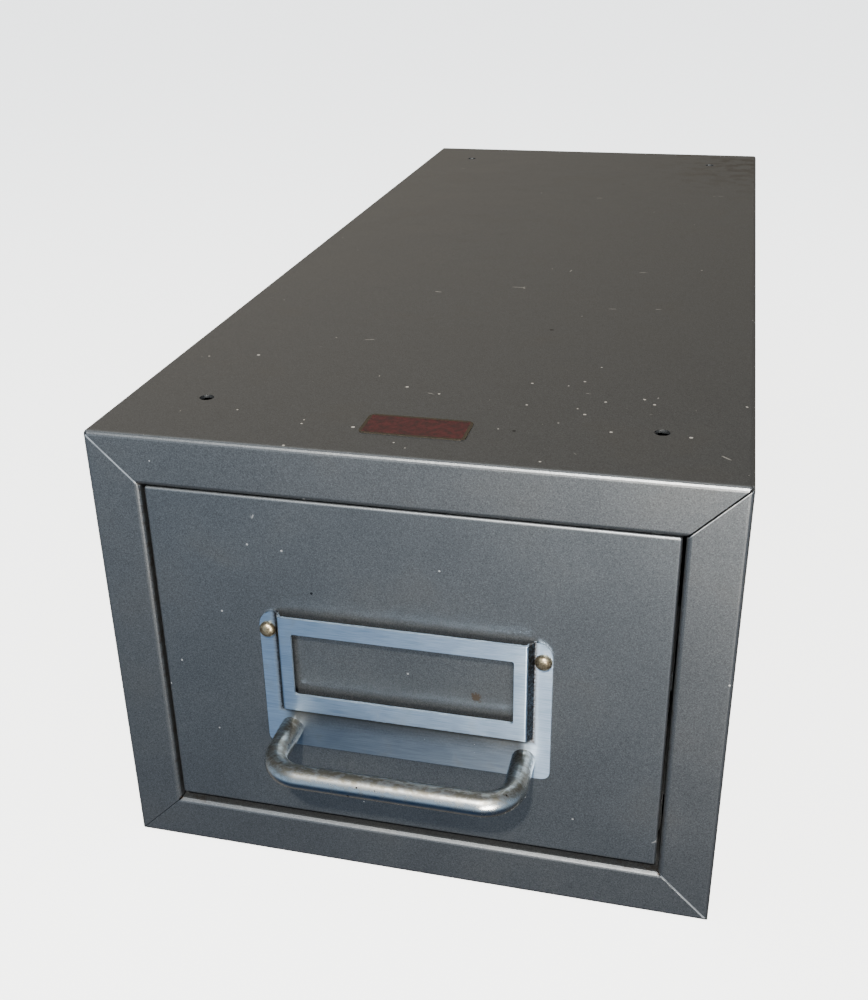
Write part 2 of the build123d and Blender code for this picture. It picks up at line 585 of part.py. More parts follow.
def lever_pin():
    end = BLADE_T / 2 + LEVER_SIDE_GAP + LEVER_SHEET + LEVER_PIN_END
    return along_x(disc(LEVER_PIN_D / 2, LEVER_Y, LEVER_Z), -end, end)


def lock_lever():
    """U-shaped lever whose cams press on the follower's foot, joined by a thumb plate at the rear."""
    inner = BLADE_T / 2 + LEVER_SIDE_GAP
    outer = inner + LEVER_SHEET
    tip = LEVER_Y + LEVER_L
    low, high = LEVER_Z - LEVER_ARM / 2, LEVER_Z + LEVER_ARM
    arm = outline([(LEVER_Y, low), (tip, low + LEVER_ARM), (tip, high + LEVER_ARM), (LEVER_Y, high)],
                  [0, LEVER_SHEET, LEVER_SHEET, 0])
    cheek = disc(CAM_R, LEVER_Y, LEVER_Z - CAM_OFFSET) + arm
    cheek -= disc(LEVER_PIN_D / 2 + LEVER_PIN_CLEAR, LEVER_Y, LEVER_Z)
    thumb_y = LEVER_Y + BLADE_L
    rise = LEVER_ARM * (thumb_y - LEVER_Y) / LEVER_L
    thumb = outline([(thumb_y, high + rise - LEVER_SHEET), (tip, high + LEVER_ARM - LEVER_SHEET),
                     (tip, high + LEVER_ARM), (thumb_y, high + rise)])
    return both_sides(along_x(cheek, inner, outer)) + along_x(thumb, -outer, outer)


# ---------------------------------------------------------------- output
def save(name, part):
    """Write one piece, or a group of like pieces, to its own file."""
    shape = Compound(children=part) if isinstance(part, list) else part
    export_step(shape, "parts/" + name + ".step")


os.makedirs("parts", exist_ok=True)
save("case_shell", case_shell())
save("bottom_panel", bottom_panel())
save("back_panel", back_panel())
save("right_runner", right_runner())
save("left_runner", mirrored(right_runner()))
save("hold_down_rail", hold_down_rail())
save("stop_dog", stop_dog())
save("stop_dog_pin", stop_dog_pin())
save("top_badge", top_badge())
save("drawer_front", drawer_front())
save("drawer_tray", drawer_tray())
save("drawer_back", drawer_back())
save("label_holder", label_holder())
save("holder_rivets", holder_rivets())
save("pull_handle", pull_handle())
save("pull_washers", pull_washers())
save("pull_screws", pull_screws())
save("follower_track", follower_track())
save("track_rivets", track_rivets())
save("follower_plate", follower_plate())
save("follower_shoe", follower_shoe())
save("lever_pin", lever_pin())
save("lock_lever", lock_lever())
print("drawer travel", round(DRAWER_TRAVEL, 2), "follower travel", round(FOLLOWER_TRAVEL, 2))
print("stop dog pin", round(DOG_Y, 2), round(DOG_Z, 2), "lever pin", round(LEVER_Y, 2), round(LEVER_Z, 2))
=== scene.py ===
"""Steel card file cabinet: its visible pieces, their finishes and a studio stage, on a fixed frame."""

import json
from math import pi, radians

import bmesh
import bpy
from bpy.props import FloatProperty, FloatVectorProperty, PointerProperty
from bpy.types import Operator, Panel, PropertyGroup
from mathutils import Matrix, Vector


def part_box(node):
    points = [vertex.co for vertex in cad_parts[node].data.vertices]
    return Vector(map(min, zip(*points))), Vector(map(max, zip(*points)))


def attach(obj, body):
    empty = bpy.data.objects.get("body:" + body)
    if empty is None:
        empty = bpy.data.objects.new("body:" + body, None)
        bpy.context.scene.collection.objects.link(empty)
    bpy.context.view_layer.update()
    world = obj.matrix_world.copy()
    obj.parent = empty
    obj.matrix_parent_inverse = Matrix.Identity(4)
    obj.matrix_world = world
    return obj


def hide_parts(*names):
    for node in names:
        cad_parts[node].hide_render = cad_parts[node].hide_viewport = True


bl_info = {
    "name": "Steel Card File Cabinet",
    "version": (1, 0, 0),
    "blender": (4, 5, 0),
    "location": "3D View > Sidebar > Cabinet",
    "description": "Models a cabinet's visible sheet metal, front hardware, finishes and studio stage",
    "category": "Object",
}

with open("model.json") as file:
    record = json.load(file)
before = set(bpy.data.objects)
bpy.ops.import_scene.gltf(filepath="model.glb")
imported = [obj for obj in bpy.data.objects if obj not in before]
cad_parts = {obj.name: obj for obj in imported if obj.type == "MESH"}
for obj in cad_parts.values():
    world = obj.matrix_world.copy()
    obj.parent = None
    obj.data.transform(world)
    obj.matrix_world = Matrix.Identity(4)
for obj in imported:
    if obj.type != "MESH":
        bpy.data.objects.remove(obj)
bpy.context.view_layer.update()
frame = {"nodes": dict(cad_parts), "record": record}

MM = 0.001
NEAR = 0.01 * MM                          # two places closer than this are one place
FACING = 0.9                              # the least of its normal along an axis that a face looks along

# Places that the frame gives.
CASE_LOW, CASE_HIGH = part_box("case_shell")
PAN_LOW, PAN_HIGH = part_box("drawer_front")
HOLDER_LOW, HOLDER_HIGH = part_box("label_holder")
PULL_LOW, PULL_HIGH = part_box("pull_handle")
RIVET_LOW, RIVET_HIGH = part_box("holder_rivets")
BADGE_LOW, BADGE_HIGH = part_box("top_badge")
FRONT_Y = CASE_LOW.y
BACK_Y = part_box("back_panel")[1].y
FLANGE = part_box("bottom_panel")[1].z      # the front frame is as wide as the floor's flange is high
MOUNTS = {mount["name"]: mount for mount in frame["record"]["mounts"]}

# Sheet work.
FLANGE_START = 2 * MM                     # the front folds have ended this far behind the front
SEAM_SHARE = {(-1, 1): 0.32, (1, 1): 1.0, (-1, -1): 0.4, (1, -1): 0.32}   # by corner: side in x, in z
SILL = "frame_sill"                       # the frame's lower bar, on its way from the case to the floor
FOLD_STEPS = 4
CORNER_STEPS = 6
WINDOW_CORNER = 0.8 * MM
STAMPED_FOLD = 0.35 * MM
SHEET_EDGE = 0.12 * MM                    # how much is taken off a cut edge
HOLDER_EDGE = 0.1 * MM
BADGE_EDGE = 0.05 * MM
RIVET_EDGE = 0.08 * MM
BADGE_CORNER = 2 * MM
BADGE_RIM = 0.9 * MM
BADGE_SLOPE = 0.225 * MM
BADGE_DISH = 0.1 * MM
DRILL_LENGTH = 8 * MM
DRILL_SIDES = 40

# Hardware.
RIVET_HEAD = 4.5 * MM
RIVET_SHANK = 3.0 * MM
RIVET_TAIL = 5.0 * MM
RIVET_DOME = 0.86                         # share of the head's height that is rounded
RIVET_CROWN_EDGE = 0.27 * MM
RIVET_CROWN_RISE = 0.03 * MM
RIVET_LEANS = ((-1, radians(4)), (1, radians(-6)))    # neither rivet was set quite straight
LEG_STEPS = 10
BEND_STEPS = 14
BAR_STEPS = 6
UNDENTED = 1 * MM                         # end of a leg that the hammer couldn't reach

# Inside pieces, which keep the frame's shape.
INSIDE_ENAMEL = {"case": ("back_panel", "left_runner", "right_runner", "hold_down_rail"),
                 "drawer": ("drawer_tray", "drawer_back")}
INSIDE_ZINC = ("stop_dog", "stop_dog_pin", "pull_washers", "pull_screws", "follower_track",
               "track_rivets", "follower_plate", "follower_shoe", "lever_pin", "lock_lever")

# Marks and colours that the enamels share.
FLAKE_MM = 0.3                            # the real flakes are finer, too fine to show
DUST = "#e9e6df"
# Near-black of paint chips, also used as painted shade inside the frame's open seams.
CHIP = "#15171a"
GRIME = "#3a2c1d"
# Bare steel where the enamel is rubbed through; on the case's front fold and mitres it is also a painted
# highlight.
BARE_STEEL = "#c9cbc9"
RUST = "#45331c"
RUST_SPOT_MM = (19.5, FRONT_Y / MM + 0.6, 64.0)

# Stage. The skies are what each side of the cabinet reflects: light, so a value may pass 1.
FLOOR_SIZE = 60.0
SKY_LOW = (0.01, 0.05, 0.13)
SKY_FRONT = (0.66, 0.89, 1.18)
SKY_BACK_LEFT = (0.46, 0.41, 0.34)
SKY_BACK_RIGHT = (0.18, 0.157, 0.124)
SKY_RISE = (-0.66, -0.18)                 # z of the directions where the front sky leaves low, gets full
SKY_SWEEP = (-0.5, 0.4)                   # x where the back sky leaves its left and reaches its right
SKY_TURN = (-0.6, 0.6)                    # y where the front sky ends and the back sky is full
KEY_LIGHT = "key_panel"
LIGHT_AIM = Vector((0, 0, 0.06))
LIGHTS = (                                # name, place, size, watts, colour
    (KEY_LIGHT, (0.09, -1.14, 1.08), 0.05, 60, "#fffaf2"),
    ("fill_panel", (0.36, -1.05, 0.14), 0.4, 30, "#fff8ee"),
    ("front_panel", (0.5, -1.9, 1.6), 1.6, 34, "#f7f9fc"),
)
SENSOR_MM = 36
CAMERA_SHIFT = (0.0063, -0.0145)          # how far the picture's middle is from the lens's axis


# ---------------------------------------------------------------- colours
def linear(hex_colour):
    """An sRGB hex colour as linear red, green and blue."""
    parts = [int(hex_colour[i:i + 2], 16) / 255 for i in (1, 3, 5)]
    return tuple(c / 12.92 if c <= 0.04045 else ((c + 0.055) / 1.055) ** 2.4 for c in parts)


def rgba(colour):
    """A hex colour, or one that is linear already, with full alpha."""
    return (*(linear(colour) if isinstance(colour, str) else colour), 1.0)


# ---------------------------------------------------------------- sizes and colours a user can change
class CABINET_PG_sheet(PropertyGroup):
    """The folded sheet steel of the case and the drawer."""
    thickness: FloatProperty(name="Sheet", description="Thickness of the sheet steel",
                             default=0.9 * MM, min=0.3 * MM, max=3 * MM, unit="LENGTH")
    bend: FloatProperty(name="Bend", description="Outside radius of the case's folds",
                        default=1.3 * MM, min=0.5 * MM, max=4 * MM, unit="LENGTH")
    drawer_bend: FloatProperty(name="Drawer bend", description="Outside radius of the drawer's folds",
                               default=0.8 * MM, min=0.3 * MM, max=4 * MM, unit="LENGTH")
    lip: FloatProperty(name="Lip", description="Depth of the folded lip round the opening",
                       default=8 * MM, min=2 * MM, max=20 * MM, unit="LENGTH")
    seam: FloatProperty(name="Seam", description="Width of the widest open seam at a frame corner",
                        default=0.5 * MM, min=0.1 * MM, max=1 * MM, unit="LENGTH")
    upturn: FloatProperty(name="Upturn", description="Height of the floor's side upturns",
                          default=12 * MM, min=2 * MM, max=30 * MM, unit="LENGTH")


class CABINET_PG_holder(PropertyGroup):
    """The stamped label holder."""
    thickness: FloatProperty(name="Sheet", description="Thickness of the label holder",
                             default=0.8 * MM, min=0.3 * MM, max=2 * MM, unit="LENGTH")
    pocket_width: FloatProperty(name="Pocket width", description="Width of the raised pocket",
                                default=69.6 * MM, min=40 * MM, max=75 * MM, unit="LENGTH")
    pocket_up: FloatProperty(name="Pocket place", description="Lower edge of the plate to the pocket",
                             default=12 * MM, min=5 * MM, max=15 * MM, unit="LENGTH")
    slope: FloatProperty(name="Slope", description="Run of the pocket's sloped walls",
                         default=1.5 * MM, min=0.5 * MM, max=3 * MM, unit="LENGTH")
    window_width: FloatProperty(name="Window width", description="Width of the label window",
                                default=60 * MM, min=30 * MM, max=65 * MM, unit="LENGTH")
    window_height: FloatProperty(name="Window height", description="Height of the label window",
                                 default=19.3 * MM, min=8 * MM, max=22 * MM, unit="LENGTH")
    window_up: FloatProperty(name="Window place", description="Lower edge of the plate to the window",
                             default=18.7 * MM, min=15 * MM, max=22 * MM, unit="LENGTH")
    top_corner: FloatProperty(name="Top corners", description="Radius of the plate's upper corners",
                              default=4.4 * MM, min=0.5 * MM, max=8 * MM, unit="LENGTH")
    low_corner: FloatProperty(name="Lower corners", description="Radius of the plate's lower corners",
                              default=2.3 * MM, min=0.5 * MM, max=8 * MM, unit="LENGTH")


class CABINET_PG_pull(PropertyGroup):
    """The bent rod pull."""
    bend: FloatProperty(name="Bend", description="Bend radius of the rod's axis",
                        default=8.5 * MM, min=5 * MM, max=15 * MM, unit="LENGTH")
    dressing: FloatProperty(name="Hammering", description="Depth of the dents left on the rod's legs",
                            default=0.07 * MM, min=0, max=0.3 * MM, unit="LENGTH")


class CABINET_PG_paint(PropertyGroup):
    """Colours of the finishes."""
    case: FloatVectorProperty(name="Case enamel", description="Colour of the case's enamel",
                              size=3, subtype="COLOR", default=linear("#57595a"), min=0, max=1)
    drawer: FloatVectorProperty(name="Drawer enamel", description="Colour of the drawer's enamel",
                                size=3, subtype="COLOR", default=linear("#55585a"), min=0, max=1)
    badge: FloatVectorProperty(name="Badge enamel", description="Colour of the badge's enamel",
                               size=3, subtype="COLOR", default=linear("#351414"), min=0, max=1)


class CABINET_PG_stage(PropertyGroup):
    """Camera and floor."""
    lens: FloatProperty(name="Lens", description="Focal length on a 36 mm sensor",
                        default=43.11, min=10, max=200, unit="CAMERA")
    camera_place: FloatVectorProperty(name="Camera", description="Where the camera stands", size=3,
                                      default=(72.4 * MM, -456.78 * MM, 251.02 * MM),
                                      subtype="TRANSLATION")
    camera_turn: FloatVectorProperty(name="Camera turn", size=3, subtype="EULER",
                                     description="The camera's pitch, roll and heading",
                                     default=(radians(64.298), radians(1.004), radians(13.849)))
    floor_colour: FloatVectorProperty(name="Floor", description="Colour of the floor",
                                      size=3, subtype="COLOR", default=linear("#f7f7f5"), min=0, max=1)
    floor_glow: FloatProperty(name="Floor glow", description="Light the floor gives off",
                              default=2.5, min=0, max=10)


# ---------------------------------------------------------------- modelling helpers
def middle(face):
    """The middle of a face's corners."""
    return sum((corner.co for corner in face.verts), Vector()) / len(face.verts)


def select_only(*pieces):
    """In object mode, selects only these pieces and makes the first one active."""
    bpy.ops.object.select_all(action="DESELECT")
    for piece in pieces:
        piece.select_set(True)
    bpy.context.view_layer.objects.active = pieces[0]


def settled(name):
    """Names the new object, puts its place into its mesh and opens it for editing."""
    piece = bpy.context.active_object
    piece.name = name
    bpy.ops.object.transform_apply(location=True, rotation=True, scale=True)
    bpy.ops.object.mode_set(mode="EDIT")
    return piece


def box(name, low, high):
    """A box between two corners, open for editing."""
    bpy.ops.object.select_all(action="DESELECT")
    low, high = Vector(low), Vector(high)
    bpy.ops.mesh.primitive_cube_add(size=1, location=(low + high) / 2, scale=high - low)
    return settled(name)


def disc(name, radius, place, turn, length, sides=32):
    """A capped cylinder of any length, open for editing."""
    bpy.ops.object.select_all(action="DESELECT")
    bpy.ops.mesh.primitive_cylinder_add(vertices=sides, radius=radius, depth=length, location=place,
                                        rotation=turn)
    return settled(name)


def ring(name, radius, place, turn, sides=32):
    """A circle of edges, open for editing."""
    bpy.ops.object.select_all(action="DESELECT")
    bpy.ops.mesh.primitive_circle_add(vertices=sides, radius=radius, location=place, rotation=turn)
    return settled(name)


def pick(piece, kind, test):
    """In edit mode, selects only the vertices, edges or faces that pass a test."""
    bpy.ops.mesh.select_mode(type=kind)
    bpy.ops.mesh.select_all(action="DESELECT")
    mesh = bmesh.from_edit_mesh(piece.data)
    for part in {"VERT": mesh.verts, "EDGE": mesh.edges, "FACE": mesh.faces}[kind]:
        if test(part):
            part.select_set(True)
    bmesh.update_edit_mesh(piece.data)


def drop(piece, test):
    """Deletes the faces that pass a test."""
    pick(piece, "FACE", test)
    bpy.ops.mesh.delete(type="FACE")


def cut(piece, place, normal, test=lambda face: True):
    """Cuts the faces that pass a test along a plane."""
    pick(piece, "FACE", test)
    bpy.ops.mesh.bisect(plane_co=place, plane_no=normal)


def extrude(offset):
    """Draws what is selected out by an offset."""
    bpy.ops.mesh.extrude_region_move(TRANSFORM_OT_translate={"value": offset})


def fold(radius, steps=FOLD_STEPS):
    """Rounds the selected edges."""
    bpy.ops.mesh.bevel(offset=radius, segments=steps, profile=0.5)


def round_corners(radius):
    """Rounds the outline at the selected vertices."""
    bpy.ops.mesh.bevel(offset=radius, segments=CORNER_STEPS, affect="VERTICES", profile=0.5)


def close_up():
    """Merges doubled vertices, caps open ends and turns every face outwards."""
    bpy.ops.mesh.select_all(action="SELECT")
    bpy.ops.mesh.remove_doubles(threshold=NEAR / 10)
    bpy.ops.mesh.fill_holes(sides=0)
    bpy.ops.mesh.normals_make_consistent(inside=False)


def thicken(piece, sheet):
    """Gives folded faces the thickness of their sheet, inwards."""
    bpy.ops.object.mode_set(mode="OBJECT")
    wall = piece.modifiers.new("sheet", "SOLIDIFY")
    wall.thickness = sheet
    wall.offset = -1
    wall.use_even_offset = True
    bpy.ops.object.modifier_apply(modifier=wall.name)


def drill(piece, mount):
    """Cuts a mount's four holes through a sheet."""
    half_x = mount["dims"]["spacing_x_mm"] * MM / 2
    half_y = mount["dims"]["spacing_y_mm"] * MM / 2
    radius = mount["dims"]["hole_r_mm"] * MM
    for x in (-half_x, half_x):
        for y in (-half_y, half_y):
            place = Vector(mount["pos_m"]) + Vector((x, y, 0))
            drill_bit = disc("drill_bit", radius, place, (0, 0, 0), DRILL_LENGTH, DRILL_SIDES)
            bpy.ops.object.mode_set(mode="OBJECT")
            bpy.context.view_layer.objects.active = piece
            hole = piece.modifiers.new("hole", "BOOLEAN")
            hole.operation = "DIFFERENCE"
            hole.object = drill_bit
            bpy.ops.object.modifier_apply(modifier=hole.name)
            bpy.data.objects.remove(drill_bit)


def ease_edges(piece, width, angle=50):
    """Takes the sharpness off every edge that turns by more than an angle in degrees."""
    bpy.ops.object.mode_set(mode="OBJECT")
    ease = piece.modifiers.new("eased_edges", "BEVEL")
    ease.width = width
    ease.segments = 2
    ease.limit_method = "ANGLE"
    ease.angle_limit = radians(angle)
    ease.harden_normals = False
    bpy.ops.object.modifier_apply(modifier=ease.name)


def smooth(piece):
    """Shades the bends smooth and keeps the flat faces flat."""
    bpy.ops.object.mode_set(mode="OBJECT")
    bpy.ops.object.shade_smooth_by_angle(angle=radians(35))
    flat = piece.modifiers.new("flat_faces", "WEIGHTED_NORMAL")
    flat.keep_sharp = True
    bpy.ops.object.modifier_apply(modifier=flat.name)


def joined(name, *pieces):
    """Several objects made one piece."""
    select_only(*pieces)
    bpy.ops.object.join()
    pieces[0].name = name
    return pieces[0]


def paint_all(piece, material):
    """Gives a piece one material all over."""
    piece.data.materials.clear()
    piece.data.materials.append(material)


def deliver(piece, material, body, node_name):
    """Paints a finished piece, hangs it on its body and hides the node that it stands for."""
    paint_all(piece, material)
    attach(piece, body)
    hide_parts(node_name)


# ---------------------------------------------------------------- shader nodes
def node(tree, kind, settings=None, links=None):
    """Adds a shader node, sets its properties or inputs, and links other inputs from sockets."""
    made = tree.nodes.new("ShaderNode" + kind)
    for key, value in (settings or {}).items():
        if isinstance(key, str) and hasattr(made, key):
            setattr(made, key, value)
        else:
            made.inputs[key].default_value = value
    for key, socket in (links or {}).items():
        tree.links.new(socket, made.inputs[key])
    return made


def blank_material(name, settings):
    """A material with only a Principled shader, its settings and its output."""
    made = bpy.data.materials.new(name)
    made.use_nodes = True
    tree = made.node_tree
    tree.nodes.clear()
    shader = node(tree, "BsdfPrincipled", settings)
    node(tree, "OutputMaterial", links={"Surface": shader.outputs[0]})
    return made, tree, shader


def dress(tree, shader, colour, rough, height, depth_mm):
    """Links a shader's colour and roughness, and a height of 0 to 1 that stands depth_mm out."""
    relief = node(tree, "Bump", {"Strength": 1.0, "Distance": depth_mm * MM}, {"Height": height})
    for key, socket in (("Base Color", colour), ("Roughness", rough), ("Normal", relief.outputs[0])):
        tree.links.new(socket, shader.inputs[key])


def in_mm(tree, stretch=(1, 1, 1)):
    """Object coordinates in millimetres, divided by stretch."""
    place = node(tree, "TexCoord").outputs["Object"]
    scale = [1 / MM / factor for factor in stretch]
    return node(tree, "Mapping", {"Scale": scale}, {"Vector": place}).outputs[0]


def axes(tree, place):
    """The x, y and z of a coordinate."""
    return node(tree, "SeparateXYZ", links={0: place}).outputs[:3]


def maths(tree, operation, first, second=0.0):
    """One Math node; each value is a number or a socket."""
    numbers, sockets = {}, {}
    for key, value in enumerate((first, second)):
        (sockets if isinstance(value, bpy.types.NodeSocket) else numbers)[key] = value
    return node(tree, "Math", {"operation": operation, **numbers}, sockets).outputs[0]


def product(tree, *values):
    """Several values multiplied; each is a number or a socket."""
    total = values[0]
    for value in values[1:]:
        total = maths(tree, "MULTIPLY", total, value)
    return total


def distance(tree, value, centre=0.0):
    """How far a value is from a number, on either side of it."""
    return maths(tree, "ABSOLUTE", maths(tree, "SUBTRACT", value, centre))


def grade(tree, value, low, high, out_low=0.0, out_high=1.0):
    """A value stretched from one range to another and held inside it."""
    return node(tree, "MapRange", {"interpolation_type": "SMOOTHSTEP", "From Min": low, "From Max": high,
                                   "To Min": out_low, "To Max": out_high}, {"Value": value}).outputs[0]


def beside(tree, along, place, reach_mm):
    """1 where a coordinate is at a place, given in metres, falling to 0 at reach_mm from it."""
    return grade(tree, distance(tree, along, place / MM), 0.0, reach_mm, 1.0, 0.0)


def tint(tree, base, colour, amount):
    """Base colour changed towards another colour; the amount and either colour may be a socket."""
    settings, links = {"data_type": "RGBA"}, {}
    for key, value in ((0, amount), (6, base), (7, colour)):
        if isinstance(value, bpy.types.NodeSocket):
            links[key] = value
        else:
            settings[key] = value if key == 0 else rgba(value)
    return node(tree, "Mix", settings, links).outputs[2]


def cloud(tree, place, size_mm, detail=2.0, rough=0.5, warp=0.0):
    """Soft noise whose lumps are about size_mm across."""
    return node(tree, "TexNoise", {"Scale": 1 / size_mm, "Detail": detail, "Roughness": rough,
                                   "Distortion": warp}, {"Vector": place}).outputs["Fac"]


def flecks(tree, place, spacing_mm, radius, share, seed=0.0):
    """Small separate spots, 1 inside and 0 outside, in a share of the cells; radius is in cells."""
    moved = node(tree, "VectorMath", {"operation": "ADD", 1: (seed, seed * 1.7, seed * 0.6)}, {0: place})
    cells = node(tree, "TexVoronoi", {"Scale": 1 / spacing_mm, "Randomness": 1.0},
                 {"Vector": moved.outputs[0]})
    draw = node(tree, "SeparateColor", links={0: cells.outputs["Color"]}).outputs
    chosen = maths(tree, "LESS_THAN", draw[0], share)
    inside = maths(tree, "LESS_THAN", cells.outputs["Distance"], product(tree, draw[1], radius))
    return product(tree, chosen, inside)


def scratches(tree, place, spacing_mm, width_mm, share):
    """Short thin lines: cracks between long warped cells, kept only where a second noise is high."""
    warped = node(tree, "TexNoise", {"Scale": 0.5 / spacing_mm, "Detail": 2.0}, {"Vector": place})
    bent = node(tree, "VectorMath", {"operation": "MULTIPLY_ADD", 1: (spacing_mm,) * 3},
                {0: warped.outputs["Color"], 2: place})
    line = node(tree, "TexVoronoi", {"feature": "DISTANCE_TO_EDGE", "Scale": 1 / spacing_mm},
                {"Vector": bent.outputs[0]}).outputs["Distance"]
    thin = maths(tree, "LESS_THAN", line, width_mm / spacing_mm)
    patches = cloud(tree, place, size_mm=spacing_mm * 0.35, detail=3.0)
    return product(tree, thin, grade(tree, patches, 1 - share, 1 - share + 0.04))


# ---------------------------------------------------------------- enamel
def stains(tree, place):
    """Blotches about 7 mm across."""
    return cloud(tree, place, size_mm=7.0, detail=4.0, rough=0.6)


def enamel(name, paint, surface_marks):
    """Baked grey enamel with metal flake: fine sparkle under a satin skin, and marks of use on top,
    which on the case also hold a painted highlight and painted seam shade.
    """
    made, tree, shader = blank_material(name, {"Metallic": 0.88, "Coat Weight": 0.2,
                                               "Coat Roughness": 0.28})
    place = in_mm(tree)
    flake = cloud(tree, place, size_mm=FLAKE_MM, detail=3.0, rough=0.7)
    patches = cloud(tree, place, size_mm=28.0, detail=3.0, rough=0.55, warp=0.4)
    bright, dark = ([c * share for c in paint] for share in (1.6, 0.55))
    colour = tint(tree, paint, bright, grade(tree, flake, 0.5, 0.72))
    colour = tint(tree, colour, dark, grade(tree, flake, 0.5, 0.3))
    colour = tint(tree, colour, "#595143", grade(tree, patches, 0.5, 0.8, 0.0, 0.14))
    colour = tint(tree, colour, "#3c3f42", grade(tree, stains(tree, place), 0.55, 0.8, 0.0, 0.16))
    colour = surface_marks(tree, place, colour)
    chips = flecks(tree, place, spacing_mm=16.0, radius=0.045, share=0.3, seed=11.0)
    colour = tint(tree, colour, CHIP, chips)
    skin = cloud(tree, place, size_mm=0.9, detail=2.0, rough=0.6)
    dress(tree, shader, colour, grade(tree, patches, 0.3, 0.7, 0.4, 0.43), skin, depth_mm=0.0096)
    return made


def case_wear_and_shading(tree, place, colour):
    """What use left on the case: dust, rubbed edges and mitres, grime and mottle; with them a painted
    highlight on the top's front fold and the mitres, and painted shade in the seams.
    """
    x, y, z = axes(tree, place)
    half_x, half_z = CASE_HIGH.x / MM, CASE_HIGH.z / 2 / MM
    on_top = beside(tree, z, CASE_HIGH.z, reach_mm=0.2)
    colour = top_wear_and_glint(tree, place, colour, y, on_top)

    from_side = maths(tree, "SUBTRACT", half_x, distance(tree, x))
    from_end = maths(tree, "SUBTRACT", half_z, distance(tree, z, half_z))
    colour = mitre_rub_glint_and_seam_shade(tree, place, colour, maths(tree, "SUBTRACT", from_side, from_end))

    into_frame = maths(tree, "MINIMUM", from_side, from_end)
    on_lip = grade(tree, into_frame, FLANGE / MM - 0.9, FLANGE / MM - 0.2)
    clots = grade(tree, cloud(tree, place, size_mm=2.2, detail=4.0, rough=0.75), 0.5, 0.62)
    to_corner = grade(tree, distance(tree, x), 40.0, half_x - FLANGE / MM)
    colour = tint(tree, colour, GRIME, product(tree, on_lip, clots, to_corner, 0.5))

    few = flecks(tree, place, spacing_mm=6.0, radius=0.06, share=0.2, seed=31.0)
    colour = tint(tree, colour, DUST, product(tree, few, 0.6))
    lines = scratches(tree, place, spacing_mm=34.0, width_mm=0.16, share=0.33)
    colour = tint(tree, colour, DUST, product(tree, lines, 0.6))

    at_rear = beside(tree, y, CASE_HIGH.y, reach_mm=120.0)
    at_right = beside(tree, x, CASE_HIGH.x, reach_mm=60.0)
    blotches = grade(tree, stains(tree, place), 0.45, 0.62)
    mottle = product(tree, on_top, at_rear, at_right, blotches, 0.75)
    return tint(tree, colour, "#2b241c", mottle)


def top_wear_and_glint(tree, place, colour, y, on_top):
    """Specks of dust that thin out towards the rear, and the top's front fold lightened towards bare
    steel: partly rubbed through, partly a painted highlight.
    """
    specks = flecks(tree, place, spacing_mm=3.4, radius=0.16, share=0.42)
    few_left = grade(tree, cloud(tree, place, size_mm=12.0), 0.42, 0.6)
    toward_front = beside(tree, y, FRONT_Y, reach_mm=110.0)
    dust = product(tree, specks, few_left, toward_front, on_top)
    colour = tint(tree, colour, DUST, maths(tree, "GREATER_THAN", dust, 0.2))
    front_fold_rub_and_glint = beside(tree, y, FRONT_Y, reach_mm=1.6)
    # Bare steel tint on the front fold: partly rubbed enamel, partly a painted highlight where the fold
    # catches the light.
    return tint(tree, colour, BARE_STEEL, product(tree, on_top, front_fold_rub_and_glint, 0.35))


def mitre_rub_glint_and_seam_shade(tree, place, colour, past_mitre):
    """A bright line along three of the frame's mitres, partly rubbed steel and partly a painted
    highlight where the edge catches the light, and painted shade on the cut faces inside the seams.
    """
    x, y, z = axes(tree, place)
    half_z = CASE_HIGH.z / 2 / MM
    on_front = beside(tree, y, FRONT_Y, reach_mm=2.0)
    line = product(tree, grade(tree, past_mitre, -0.75, -0.5), grade(tree, past_mitre, 0.1, -0.1))
    low_left = product(tree, grade(tree, x, 0.1, -0.1), grade(tree, z, half_z + 0.1, half_z - 0.1))
    broken = grade(tree, stains(tree, place), 0.35, 0.5, 0.3, 0.8)
    rubbed = product(tree, line, broken, on_front, maths(tree, "SUBTRACT", 1.0, low_left))
    # Partly rubbed steel, partly a painted highlight along the mitre's edge.
    colour = tint(tree, colour, BARE_STEEL, rubbed)
    behind_skin = grade(tree, y, FRONT_Y / MM + 0.05, FRONT_Y / MM + 0.15)
    seam_shade = product(tree, grade(tree, distance(tree, past_mitre), 0.6, 0.45), on_front, behind_skin)
    # Painted shade on the cut faces inside the open seams, in the chips' near-black.
    return tint(tree, colour, CHIP, seam_shade)


def drawer_wear(tree, place, colour):
    """A few specks and thin scratches, and one ragged rust spot behind the label window."""
    few = flecks(tree, place, spacing_mm=4.6, radius=0.07, share=0.24)
    colour = tint(tree, colour, DUST, product(tree, few, 0.6))
    from_spot = node(tree, "VectorMath", {"operation": "DISTANCE", 1: RUST_SPOT_MM}, {0: place})
    fray = product(tree, cloud(tree, place, size_mm=0.8, detail=3.0), 3.0)
    ragged = maths(tree, "ADD", from_spot.outputs["Value"], fray)
    colour = tint(tree, colour, RUST, grade(tree, ragged, 3.3, 2.4, 0.0, 0.75))
    lines = scratches(tree, place, spacing_mm=30.0, width_mm=0.14, share=0.3)
    return tint(tree, colour, DUST, product(tree, lines, 0.4))


